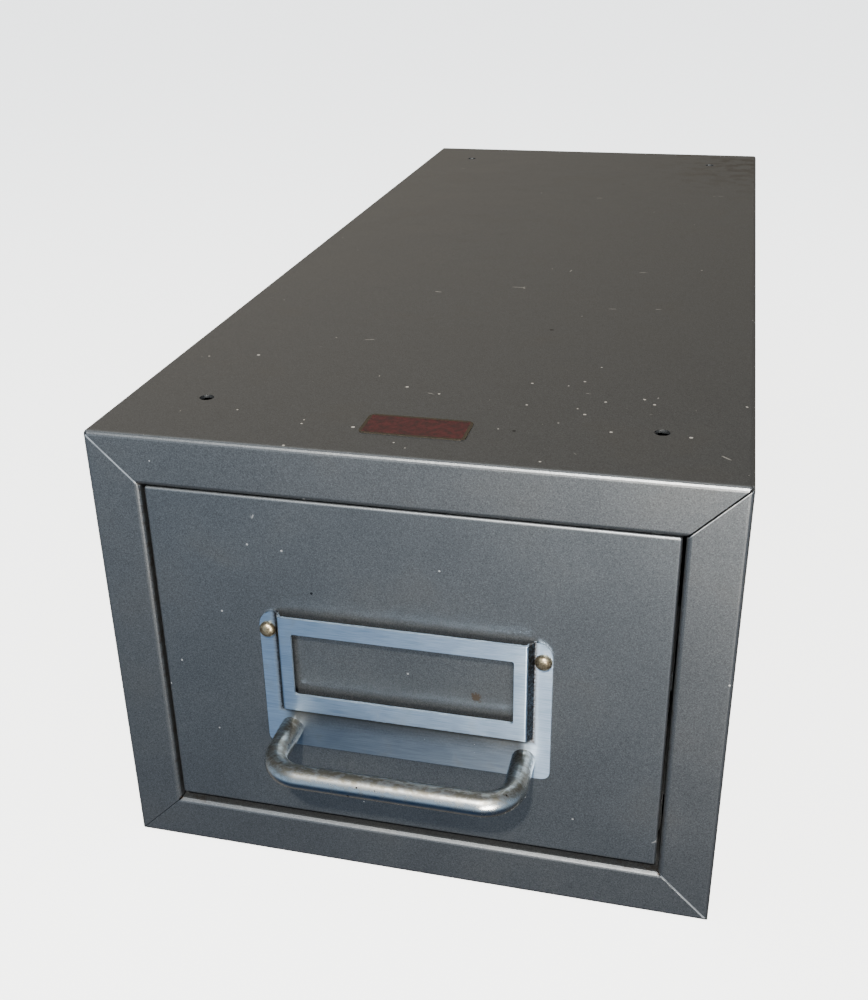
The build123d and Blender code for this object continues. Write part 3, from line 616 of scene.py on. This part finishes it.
# ---------------------------------------------------------------- metal finishes
def brushed_aluminium(holder):
    """Aluminium sheet, stamped and rubbed along its length: fine lines, a blue cast that is a painted
    sky reflection, darker and duller over the pocket's folds, and darker under the pocket between the
    ears.
    """
    made, tree, shader = blank_material("brushed_aluminium", {"Metallic": 1.0, "Anisotropic": 0.92})
    place = in_mm(tree)
    x, _, z = axes(tree, place)
    grain = cloud(tree, in_mm(tree, stretch=(14, 1, 0.35)), size_mm=0.5, detail=3.0, rough=0.6)
    smudge = cloud(tree, place, size_mm=9.0, detail=4.0, rough=0.6, warp=0.5)
    speck = cloud(tree, place, size_mm=0.6, detail=4.0, rough=0.75)
    # The blue in these two colours is a painted reflection of the sky; the grain between them is the
    # metal's own.
    colour = tint(tree, "#abbccd", "#90a3b7", grade(tree, grain, 0.35, 0.65))
    colour = tint(tree, colour, "#8f8d86", grade(tree, smudge, 0.5, 0.75, 0.0, 0.3))

    past_side = maths(tree, "SUBTRACT", distance(tree, x), holder.pocket_width / 2 / MM)
    below = maths(tree, "SUBTRACT", (HOLDER_LOW.z + holder.pocket_up) / MM, z)
    past_pocket = maths(tree, "MAXIMUM", past_side, below)
    slope = holder.slope / MM
    in_fold = product(tree, grade(tree, past_pocket, -slope - 0.1, -slope + 0.4),
                      grade(tree, past_pocket, 1.6, 0.1))
    # Darker and duller over the pocket's sloped walls and along their foot, speckled.
    fold_darkening = product(tree, in_fold, grade(tree, speck, 0.3, 0.6, 0.7, 1.0))
    colour = tint(tree, colour, "#2f2a24", fold_darkening)

    between_ears = product(tree, grade(tree, below, -0.5, 0.2), grade(tree, past_side, 0.5, -4.0))
    # Darker just under the pocket between the ears, fading downwards.
    under_pocket_darkening = grade(tree, maths(tree, "ADD", below, product(tree, speck, 6.0)), 10.0, 3.0, 0.6, 0.9)
    colour = tint(tree, colour, "#4b4841", product(tree, under_pocket_darkening, between_ears))
    pits = flecks(tree, place, spacing_mm=1.7, radius=0.14, share=0.4)
    colour = tint(tree, colour, "#eef2f4", product(tree, pits, between_ears, 0.7))

    rough = maths(tree, "ADD", grade(tree, smudge, 0.3, 0.7, 0.34, 0.38), product(tree, fold_darkening, 0.3))
    dress(tree, shader, colour, rough, grain, depth_mm=0.006)
    upright = node(tree, "VectorTransform", {"vector_type": "VECTOR", "convert_from": "OBJECT",
                                             "convert_to": "WORLD", 0: (0.0, 0.0, 1.0)})
    tree.links.new(upright.outputs[0], shader.inputs["Tangent"])
    return made


def worn_nickel():
    """Nickel plate on a steel rod: dull and warm on top, partly tarnish and partly a painted dark
    reflection; a painted shade underneath; pits where the plate has gone.
    """
    made, tree, shader = blank_material("worn_nickel", {"Metallic": 1.0})
    place = in_mm(tree)
    rub = cloud(tree, in_mm(tree, stretch=(1.8, 1, 1)), size_mm=1.3, detail=5.0, rough=0.7, warp=0.3)
    up = axes(tree, node(tree, "NewGeometry").outputs["Normal"])[2]
    colour = tint(tree, "#a6aaab", "#8d8f8d", grade(tree, rub, 0.4, 0.65))
    # Upward faces: partly dull tarnish, partly a painted dark, warm reflection of what lies above.
    on_top = product(tree, grade(tree, up, 0.25, 0.8), grade(tree, rub, 0.35, 0.6, 0.6, 1.0))
    colour = tint(tree, colour, "#524f47", on_top)
    # Painted shade on the rod's downward faces.
    colour = tint(tree, colour, "#2b2c2a", grade(tree, up, -0.35, -0.8))
    pits = flecks(tree, place, spacing_mm=2.4, radius=0.22, share=0.22)
    colour = tint(tree, colour, "#171310", pits)
    rough = maths(tree, "ADD", grade(tree, rub, 0.3, 0.7, 0.18, 0.28), product(tree, on_top, 0.18))
    height = maths(tree, "SUBTRACT", rub, product(tree, pits, 0.8))
    dress(tree, shader, colour, rough, height, depth_mm=0.014)
    return made


def aged_brass():
    """Brass rivet head gone brown, brighter where it has been rubbed."""
    made, tree, shader = blank_material("aged_brass", {"Metallic": 1.0})
    tarnish = cloud(tree, in_mm(tree), size_mm=1.1, detail=4.0, rough=0.65)
    colour = tint(tree, "#8b8068", "#433c30", grade(tree, tarnish, 0.4, 0.62))
    dress(tree, shader, colour, grade(tree, tarnish, 0.3, 0.7, 0.32, 0.6), tarnish, depth_mm=0.04)
    return made


def badge_enamel(paint):
    """Dark red stove enamel on the pressed badge, worn to brown at its rim."""
    made, tree, shader = blank_material("badge_enamel_worn", {"Specular IOR Level": 0.3})
    place = in_mm(tree)
    x, y, _ = axes(tree, place)
    blotch = cloud(tree, place, size_mm=2.2, detail=4.0, rough=0.7)
    colour = tint(tree, paint, "#1d0f0d", grade(tree, blotch, 0.35, 0.7))
    colour = tint(tree, colour, "#4f342d", grade(tree, blotch, 0.62, 0.75, 0.0, 0.35))
    centre = (BADGE_LOW + BADGE_HIGH) / 2 / MM
    half = (BADGE_HIGH - BADGE_LOW) / 2 / MM
    past_x = maths(tree, "SUBTRACT", distance(tree, x, centre.x), half.x - BADGE_RIM / MM)
    past_y = maths(tree, "SUBTRACT", distance(tree, y, centre.y), half.y - BADGE_RIM / MM)
    rim = grade(tree, maths(tree, "MAXIMUM", past_x, past_y), -0.15, 0.15)
    colour = tint(tree, colour, "#251f15", rim)
    dress(tree, shader, colour, grade(tree, blotch, 0.3, 0.7, 0.5, 0.65), blotch, depth_mm=0.02)
    return made


def zinc_plate():
    """Bright zinc plate gone dull: small grey spangles and faint rub marks."""
    made, tree, shader = blank_material("zinc_plate_dull", {"Metallic": 1.0})
    place = in_mm(tree)
    spangle = node(tree, "TexVoronoi", {"Scale": 1 / 2.4}, {"Vector": place}).outputs["Color"]
    shade = node(tree, "SeparateColor", links={0: spangle}).outputs[0]
    dull = cloud(tree, place, size_mm=6.0, detail=4.0, rough=0.6)
    colour = tint(tree, "#9a9c98", "#b1b2ac", shade)
    colour = tint(tree, colour, "#6f6c64", grade(tree, dull, 0.45, 0.7, 0.0, 0.6))
    grit = cloud(tree, place, size_mm=0.7, detail=3.0)
    dress(tree, shader, colour, grade(tree, dull, 0.3, 0.7, 0.34, 0.52), grit, depth_mm=0.008)
    return made


# ---------------------------------------------------------------- case
def nearest_wall(point):
    """Which wall of the case a point of the front frame belongs to."""
    gaps = {"left": point.x - CASE_LOW.x, "right": CASE_HIGH.x - point.x,
            "bottom": point.z - CASE_LOW.z, "top": CASE_HIGH.z - point.z}
    return min(gaps, key=gaps.get)


def in_opening(point):
    """Whether a point is in the case's opening or on the lip round it."""
    return (CASE_LOW.x + FLANGE - NEAR < point.x < CASE_HIGH.x - FLANGE + NEAR
            and FLANGE - NEAR < point.z < CASE_HIGH.z - FLANGE + NEAR)


def on_frame(point, lip):
    """Whether a point is on the folded front frame, in front of the straight walls."""
    return point.y < FRONT_Y + (lip if in_opening(point) else FLANGE_START)


def is_case_fold(edge):
    """Whether a fold runs along an edge: round the front, but not on its mitres, and along the top."""
    one, other = (vertex.co for vertex in edge.verts)
    if one.y < FRONT_Y + NEAR and other.y < FRONT_Y + NEAR:
        return abs(one.x - other.x) < NEAR or abs(one.z - other.z) < NEAR
    return min(one.z, other.z) > CASE_HIGH.z - NEAR and abs(one.x - other.x) < NEAR


def open_seam(case, x_side, z_side, sheet):
    """Removes a thin strip along the diagonal of one corner of the frame."""
    corner = Vector((CASE_HIGH.x if x_side > 0 else CASE_LOW.x, FRONT_Y,
                     CASE_HIGH.z if z_side > 0 else CASE_LOW.z))
    normal = Vector((z_side, 0, -x_side)).normalized()
    walls = ("right" if x_side > 0 else "left", "top" if z_side > 0 else "bottom")
    half = sheet.seam * SEAM_SHARE[x_side, z_side] / 2

    def by_corner(face):
        """Whether a face is on one of the two bars that meet here."""
        return on_frame(middle(face), sheet.lip) and nearest_wall(middle(face)) in walls

    for offset in (-half, half):
        cut(case, corner + normal * offset, normal, by_corner)
    drop(case, lambda face: by_corner(face)
         and abs((middle(face) - corner).dot(normal)) < half - NEAR / 2)


class CABINET_OT_case(Operator):
    """Folds the case from a box: frame, lips, rounded folds and open corner seams"""
    bl_idname = "cabinet.case"
    bl_label = "Case"

    def execute(self, context):
        sheet = context.scene.cabinet_sheet
        case = box("case_wrapper", CASE_LOW, CASE_HIGH)
        drop(case, lambda face: face.normal.y > FACING)
        pick(case, "FACE", lambda face: face.normal.y < -FACING)
        bpy.ops.mesh.inset(thickness=FLANGE, depth=0)
        extrude((0, sheet.lip, 0))
        bpy.ops.mesh.delete(type="FACE")
        pick(case, "EDGE", is_case_fold)
        fold(sheet.bend)

        walls_y = FRONT_Y + FLANGE_START
        cut(case, (0, walls_y, 0), (0, 1, 0), lambda face: not in_opening(middle(face)))
        drop(case, lambda face: face.normal.z < -FACING and middle(face).y > walls_y
             and middle(face).z < NEAR)
        for x_side, z_side in SEAM_SHARE:
            open_seam(case, x_side, z_side, sheet)
        self.part_from_sill(context, case, sheet)

        thicken(case, sheet.thickness)
        drill(case, MOUNTS["top_stacking_holes"])
        ease_edges(case, SHEET_EDGE)
        smooth(case)
        finish = enamel("case_enamel_satin", context.scene.cabinet_paint.case, case_wear_and_shading)
        deliver(case, finish, "case", "case_shell")
        return {"FINISHED"}

    @staticmethod
    def part_from_sill(context, case, sheet):
        """Makes the frame's lower bar an object of its own, which the floor panel takes over."""
        pick(case, "FACE", lambda face: on_frame(middle(face), sheet.lip)
             and nearest_wall(middle(face)) == "bottom")
        bpy.ops.mesh.separate(type="SELECTED")
        bpy.ops.object.mode_set(mode="OBJECT")
        sill = next(piece for piece in context.selected_objects if piece != case)
        sill.name = SILL
        select_only(case)


class CABINET_OT_floor_panel(Operator):
    """Folds the floor panel: the frame's sill, a flat bottom and two side upturns"""
    bl_idname = "cabinet.floor_panel"
    bl_label = "Floor panel"

    def execute(self, context):
        sheet = context.scene.cabinet_sheet
        low = CASE_LOW + Vector((sheet.thickness, FLANGE_START, 0))
        high = (CASE_HIGH.x - sheet.thickness, BACK_Y - sheet.thickness, sheet.upturn)
        flat = box("flat_bottom", low, high)
        drop(flat, lambda face: face.normal.z > FACING or abs(face.normal.y) > FACING)
        pick(flat, "EDGE", self.is_fold)
        fold(sheet.bend)
        bpy.ops.object.mode_set(mode="OBJECT")
        floor = joined("floor_panel", flat, bpy.data.objects[SILL])
        thicken(floor, sheet.thickness)
        drill(floor, MOUNTS["bottom_stacking_holes"])
        ease_edges(floor, SHEET_EDGE)
        smooth(floor)
        deliver(floor, bpy.data.materials["case_enamel_satin"], "case", "bottom_panel")
        return {"FINISHED"}

    @staticmethod
    def is_fold(edge):
        """Whether an edge runs along the case at the bottom."""
        one, other = (vertex.co for vertex in edge.verts)
        return max(one.z, other.z) < NEAR and abs(one.x - other.x) < NEAR


class CABINET_OT_badge(Operator):
    """Presses the small plain badge: a rounded plate with a raised rim"""
    bl_idname = "cabinet.badge"
    bl_label = "Badge"

    def execute(self, context):
        badge = box("top_badge_plate", BADGE_LOW, BADGE_HIGH)
        pick(badge, "EDGE", lambda edge: abs(edge.verts[0].co.z - edge.verts[1].co.z) > NEAR)
        fold(BADGE_CORNER, steps=CORNER_STEPS)
        pick(badge, "FACE", lambda face: face.normal.z > FACING)
        bpy.ops.mesh.inset(thickness=BADGE_RIM, depth=0)
        bpy.ops.mesh.inset(thickness=BADGE_SLOPE, depth=-BADGE_DISH)
        ease_edges(badge, BADGE_EDGE)
        smooth(badge)
        finish = badge_enamel(context.scene.cabinet_paint.badge)
        deliver(badge, finish, "case", "top_badge")
        return {"FINISHED"}


# ---------------------------------------------------------------- drawer
class CABINET_OT_drawer_front(Operator):
    """Folds the drawer's front pan and rounds its corners"""
    bl_idname = "cabinet.drawer_front"
    bl_label = "Drawer front"

    def execute(self, context):
        sheet = context.scene.cabinet_sheet
        pan = box("drawer_pan", PAN_LOW, PAN_HIGH)
        drop(pan, lambda face: face.normal.y > FACING)
        pick(pan, "EDGE", lambda edge: not all(end.co.y > PAN_HIGH.y - NEAR for end in edge.verts))
        fold(sheet.drawer_bend)
        thicken(pan, sheet.thickness)
        ease_edges(pan, SHEET_EDGE)
        smooth(pan)
        finish = enamel("drawer_enamel_satin", context.scene.cabinet_paint.drawer, drawer_wear)
        deliver(pan, finish, "drawer", "drawer_front")
        return {"FINISHED"}


def on_pocket_fold(edge, x, z):
    """Whether an edge lies on the U that runs down the plate at one side, across at z and up again."""
    def on_line(point):
        """Whether a point is on the U."""
        upright = abs(abs(point.x) - x) < NEAR and point.z > z - NEAR
        level = abs(point.z - z) < NEAR and abs(point.x) < x + NEAR
        return upright or level

    return all(on_line(vertex.co) for vertex in edge.verts)


class CABINET_OT_label_holder(Operator):
    """Stamps the label holder from a plate: raised pocket, window, round corners and soft folds"""
    bl_idname = "cabinet.label_holder"
    bl_label = "Label holder"

    def execute(self, context):
        holder = context.scene.cabinet_holder
        plate_y = HOLDER_HIGH.y - holder.thickness
        foot_x = holder.pocket_width / 2
        foot_z = HOLDER_LOW.z + holder.pocket_up
        face_x = foot_x - holder.slope
        face_z = foot_z + holder.slope
        window_x = holder.window_width / 2
        window_low = HOLDER_LOW.z + holder.window_up
        window_top = window_low + holder.window_height

        plate = self.blank(plate_y)
        for x in (-foot_x, -face_x, -window_x, window_x, face_x, foot_x):
            cut(plate, (x, plate_y, 0), (1, 0, 0))
        for z in (foot_z, face_z, window_low, window_top):
            cut(plate, (0, plate_y, z), (0, 0, 1))
        pick(plate, "VERT", lambda vertex: abs(vertex.co.x) < face_x + NEAR
             and vertex.co.z > face_z - NEAR)
        bpy.ops.transform.translate(value=(0, HOLDER_LOW.y - plate_y, 0))
        drop(plate, lambda face: abs(middle(face).x) < window_x
             and window_low < middle(face).z < window_top)

        pick(plate, "VERT", lambda vertex: self.at_corner(vertex.co, HOLDER_HIGH.x, HOLDER_HIGH.z))
        round_corners(holder.top_corner)
        pick(plate, "VERT", lambda vertex: self.at_corner(vertex.co, HOLDER_HIGH.x, HOLDER_LOW.z))
        round_corners(holder.low_corner)
        pick(plate, "VERT", lambda vertex: self.at_corner(vertex.co, window_x, window_low)
             or self.at_corner(vertex.co, window_x, window_top))
        round_corners(WINDOW_CORNER)
        pick(plate, "EDGE", lambda edge: on_pocket_fold(edge, foot_x, foot_z)
             or on_pocket_fold(edge, face_x, face_z))
        fold(STAMPED_FOLD, steps=3)

        thicken(plate, holder.thickness)
        ease_edges(plate, HOLDER_EDGE, angle=60)
        smooth(plate)
        deliver(plate, brushed_aluminium(holder), "drawer", "label_holder")
        return {"FINISHED"}

    @staticmethod
    def blank(plate_y):
        """The flat plate before it is stamped, open for editing."""
        size = HOLDER_HIGH - HOLDER_LOW
        place = (HOLDER_LOW + HOLDER_HIGH) / 2
        place.y = plate_y
        bpy.ops.object.select_all(action="DESELECT")
        bpy.ops.mesh.primitive_plane_add(size=size.x, location=place, rotation=(pi / 2, 0, 0))
        plate = settled("label_holder_stamping")
        bpy.ops.transform.resize(value=(1, 1, size.z / size.x), center_override=place)
        return plate

    @staticmethod
    def at_corner(point, x, z):
        """Whether a point is at x on either side, and at z."""
        return abs(abs(point.x) - x) < NEAR and abs(point.z - z) < NEAR


class CABINET_OT_rivets(Operator):
    """Turns the two domed rivets with their shanks and set tails"""
    bl_idname = "cabinet.rivets"
    bl_label = "Rivets"

    def execute(self, context):
        seat = HOLDER_HIGH.y - context.scene.cabinet_holder.thickness
        inside = PAN_LOW.y + context.scene.cabinet_sheet.thickness
        rivets = joined("holder_rivet_pair", *[self.rivet(side, lean, seat, inside)
                                               for side, lean in RIVET_LEANS])
        deliver(rivets, aged_brass(), "drawer", "holder_rivets")
        return {"FINISHED"}

    @staticmethod
    def rivet(side, lean, seat, inside):
        """One rivet, its head against the holder at seat and its tail set against the pan at inside."""
        head_r = RIVET_HEAD / 2
        height = seat - RIVET_LOW.y
        x = side * (RIVET_HIGH.x - RIVET_TAIL / 2)
        z = (RIVET_LOW.z + RIVET_HIGH.z) / 2
        rivet = disc("rivet", head_r, (x, seat - height / 2, z), (pi / 2, 0, 0), height)
        pick(rivet, "EDGE", lambda edge: all(end.co.y < RIVET_LOW.y + NEAR for end in edge.verts))
        fold(height * RIVET_DOME, steps=7)
        pick(rivet, "FACE", lambda face: face.normal.y < -FACING and len(face.verts) > 4)
        bpy.ops.mesh.inset(thickness=RIVET_CROWN_EDGE, depth=RIVET_CROWN_RISE)

        pick(rivet, "FACE", lambda face: face.normal.y > FACING)
        bpy.ops.mesh.inset(thickness=head_r - RIVET_SHANK / 2, depth=0)
        extrude((0, inside - seat, 0))
        extrude((0, 0, 0))                # the same outline again, widened to the tail's
        wide = RIVET_TAIL / RIVET_SHANK
        bpy.ops.transform.resize(value=(wide, 1, wide), center_override=(x, inside, z))
        extrude((0, RIVET_HIGH.y - inside, 0))
        close_up()

        pick(rivet, "VERT", lambda vertex: vertex.co.y < seat - NEAR)
        bpy.ops.transform.rotate(value=lean, orient_axis="X", center_override=(x, seat, z))
        ease_edges(rivet, RIVET_EDGE)
        smooth(rivet)
        return rivet


class CABINET_OT_pull(Operator):
    """Bends the pull from a round rod and dresses its legs with small dents"""
    bl_idname = "cabinet.pull"
    bl_label = "Pull"

    def execute(self, context):
        pull = context.scene.cabinet_pull
        radius = (PULL_HIGH.z - PULL_LOW.z) / 2
        z = (PULL_LOW.z + PULL_HIGH.z) / 2
        leg_x = PULL_HIGH.x - radius
        bend_x = leg_x - pull.bend
        bend_y = PULL_LOW.y + radius + pull.bend
        leg = PULL_HIGH.y - bend_y
        bar = ring("pull_rod", radius, (-leg_x, PULL_HIGH.y, z), (pi / 2, 0, 0))
        self.straight(Vector((0, -leg, 0)), LEG_STEPS)
        self.quarter_turn((-bend_x, bend_y, z))
        self.straight(Vector((2 * bend_x, 0, 0)), BAR_STEPS)
        self.quarter_turn((bend_x, bend_y, z))
        self.straight(Vector((0, leg, 0)), LEG_STEPS)
        close_up()
        squeeze = 1 - pull.dressing / radius
        for side in (-1, 1):
            self.dent_leg(bar, side, bend_y, squeeze, (side * leg_x, 0, z))
        smooth(bar)
        deliver(bar, worn_nickel(), "drawer", "pull_handle")
        return {"FINISHED"}

    @staticmethod
    def straight(offset, steps):
        """Draws the rod's end on in equal steps."""
        for _ in range(steps):
            extrude(offset / steps)

    @staticmethod
    def quarter_turn(centre):
        """Bends the rod's end on by a quarter turn in the level plane."""
        bpy.ops.mesh.spin(steps=BEND_STEPS, angle=pi / 2, center=centre, axis=(0, 0, -1))

    @staticmethod
    def dent_leg(bar, side, bend_y, squeeze, centre):
        """Squeezes every other ring of one leg a little."""
        mesh = bmesh.from_edit_mesh(bar.data)
        rings = sorted({round(vertex.co.y / MM, 2) for vertex in mesh.verts
                        if bend_y + NEAR < vertex.co.y < PULL_HIGH.y - UNDENTED})
        for ring_mm in rings[::2]:
            pick(bar, "VERT", lambda vertex: round(vertex.co.y / MM, 2) == ring_mm
                 and vertex.co.x * side > 0)
            bpy.ops.transform.resize(value=(squeeze, 1, squeeze), center_override=centre)


# ---------------------------------------------------------------- inside pieces
class CABINET_OT_inside(Operator):
    """Gives the runners, tray, follower and fastenings their finishes"""
    bl_idname = "cabinet.inside"
    bl_label = "Inside pieces"

    def execute(self, context):
        for body, names in INSIDE_ENAMEL.items():
            paint = getattr(context.scene.cabinet_paint, body)
            self.paint_nodes(names, enamel(body + "_enamel_inside", paint, drawer_wear))
        self.paint_nodes(INSIDE_ZINC, zinc_plate())
        return {"FINISHED"}

    @staticmethod
    def paint_nodes(names, material):
        """Gives several nodes of the frame one material."""
        for name in names:
            paint_all(frame["nodes"][name], material)


# ---------------------------------------------------------------- stage
def studio_sky():
    """What the metal reflects: from low to high in front, and from left to right behind."""
    sky = bpy.data.worlds.new("studio")
    sky.use_nodes = True
    tree = sky.node_tree
    x, y, z = axes(tree, node(tree, "TexCoord").outputs["Generated"])
    ahead = tint(tree, SKY_LOW, SKY_FRONT, grade(tree, z, *SKY_RISE))
    behind = tint(tree, SKY_BACK_LEFT, SKY_BACK_RIGHT, grade(tree, x, *SKY_SWEEP))
    around = tint(tree, ahead, behind, grade(tree, y, *SKY_TURN))
    tree.links.new(around, tree.nodes["Background"].inputs["Color"])
    return sky


def light_panel(name, place, size, watts, colour):
    """A square light turned to the cabinet; all but the key light only show as reflections."""
    light = bpy.data.lights.new(name, "AREA")
    light.size = size
    light.energy = watts
    light.color = linear(colour)
    panel = bpy.data.objects.new(name, light)
    panel.location = place
    panel.rotation_euler = (LIGHT_AIM - Vector(place)).to_track_quat("-Z", "Y").to_euler()
    panel.visible_diffuse = name == KEY_LIGHT
    return panel


def studio_camera(stage):
    """The camera, where the stage's settings put it."""
    camera = bpy.data.objects.new("camera", bpy.data.cameras.new("camera"))
    camera.data.lens = stage.lens
    camera.data.sensor_width = SENSOR_MM
    camera.data.shift_x, camera.data.shift_y = CAMERA_SHIFT
    camera.location = stage.camera_place
    camera.rotation_euler = stage.camera_turn
    return camera


class CABINET_OT_stage(Operator):
    """Sets up the floor, the soft lights and the camera"""
    bl_idname = "cabinet.stage"
    bl_label = "Stage"

    def execute(self, context):
        scene = context.scene
        stage = scene.cabinet_stage
        bpy.ops.object.select_all(action="DESELECT")
        bpy.ops.mesh.primitive_plane_add(size=FLOOR_SIZE, location=(0, 0, 0))
        floor = context.active_object
        floor.name = "floor"
        colour = rgba(stage.floor_colour)
        finish = blank_material("pale_floor", {"Base Color": colour, "Roughness": 0.9,
                                               "Emission Color": colour,
                                               "Emission Strength": stage.floor_glow})[0]
        paint_all(floor, finish)
        floor.visible_glossy = False
        floor.visible_diffuse = False

        scene.world = studio_sky()
        for light in LIGHTS:
            scene.collection.objects.link(light_panel(*light))
        scene.camera = studio_camera(stage)
        scene.collection.objects.link(scene.camera)
        return {"FINISHED"}


# ---------------------------------------------------------------- panel
class CABINET_PT_build(Panel):
    """Lists the sizes, the colours and the steps that build the cabinet"""
    bl_idname = "CABINET_PT_build"
    bl_label = "Card file cabinet"
    bl_space_type = "VIEW_3D"
    bl_region_type = "UI"
    bl_category = "Cabinet"

    def draw(self, context):
        for group in GROUPS:
            section = self.layout.box()
            settings = getattr(context.scene, group)
            section.label(text=group.replace("cabinet_", "").capitalize())
            for name in settings.bl_rna.properties.keys():
                if name not in ("rna_type", "name"):
                    section.prop(settings, name)
        for step in STEPS:
            self.layout.operator(step.bl_idname)


# ---------------------------------------------------------------- run
GROUPS = {"cabinet_sheet": CABINET_PG_sheet, "cabinet_holder": CABINET_PG_holder,
          "cabinet_pull": CABINET_PG_pull, "cabinet_paint": CABINET_PG_paint,
          "cabinet_stage": CABINET_PG_stage}
STEPS = (CABINET_OT_case, CABINET_OT_floor_panel, CABINET_OT_badge, CABINET_OT_drawer_front,
         CABINET_OT_label_holder, CABINET_OT_rivets, CABINET_OT_pull, CABINET_OT_inside,
         CABINET_OT_stage)


def register():
    """Registers the classes and hangs each group of settings on the scene."""
    for cls in (*GROUPS.values(), *STEPS, CABINET_PT_build):
        bpy.utils.register_class(cls)
    for name, group in GROUPS.items():
        setattr(bpy.types.Scene, name, PointerProperty(type=group))


def unregister():
    """Takes the settings and the classes away again."""
    for name in GROUPS:
        delattr(bpy.types.Scene, name)
    for cls in (CABINET_PT_build, *reversed(STEPS), *GROUPS.values()):
        bpy.utils.unregister_class(cls)


def main():
    """Builds every piece in order."""
    register()
    bpy.ops.cabinet.case()
    bpy.ops.cabinet.floor_panel()
    bpy.ops.cabinet.badge()
    bpy.ops.cabinet.drawer_front()
    bpy.ops.cabinet.label_holder()
    bpy.ops.cabinet.rivets()
    bpy.ops.cabinet.pull()
    bpy.ops.cabinet.inside()
    bpy.ops.cabinet.stage()


if __name__ == "__main__":
    main()
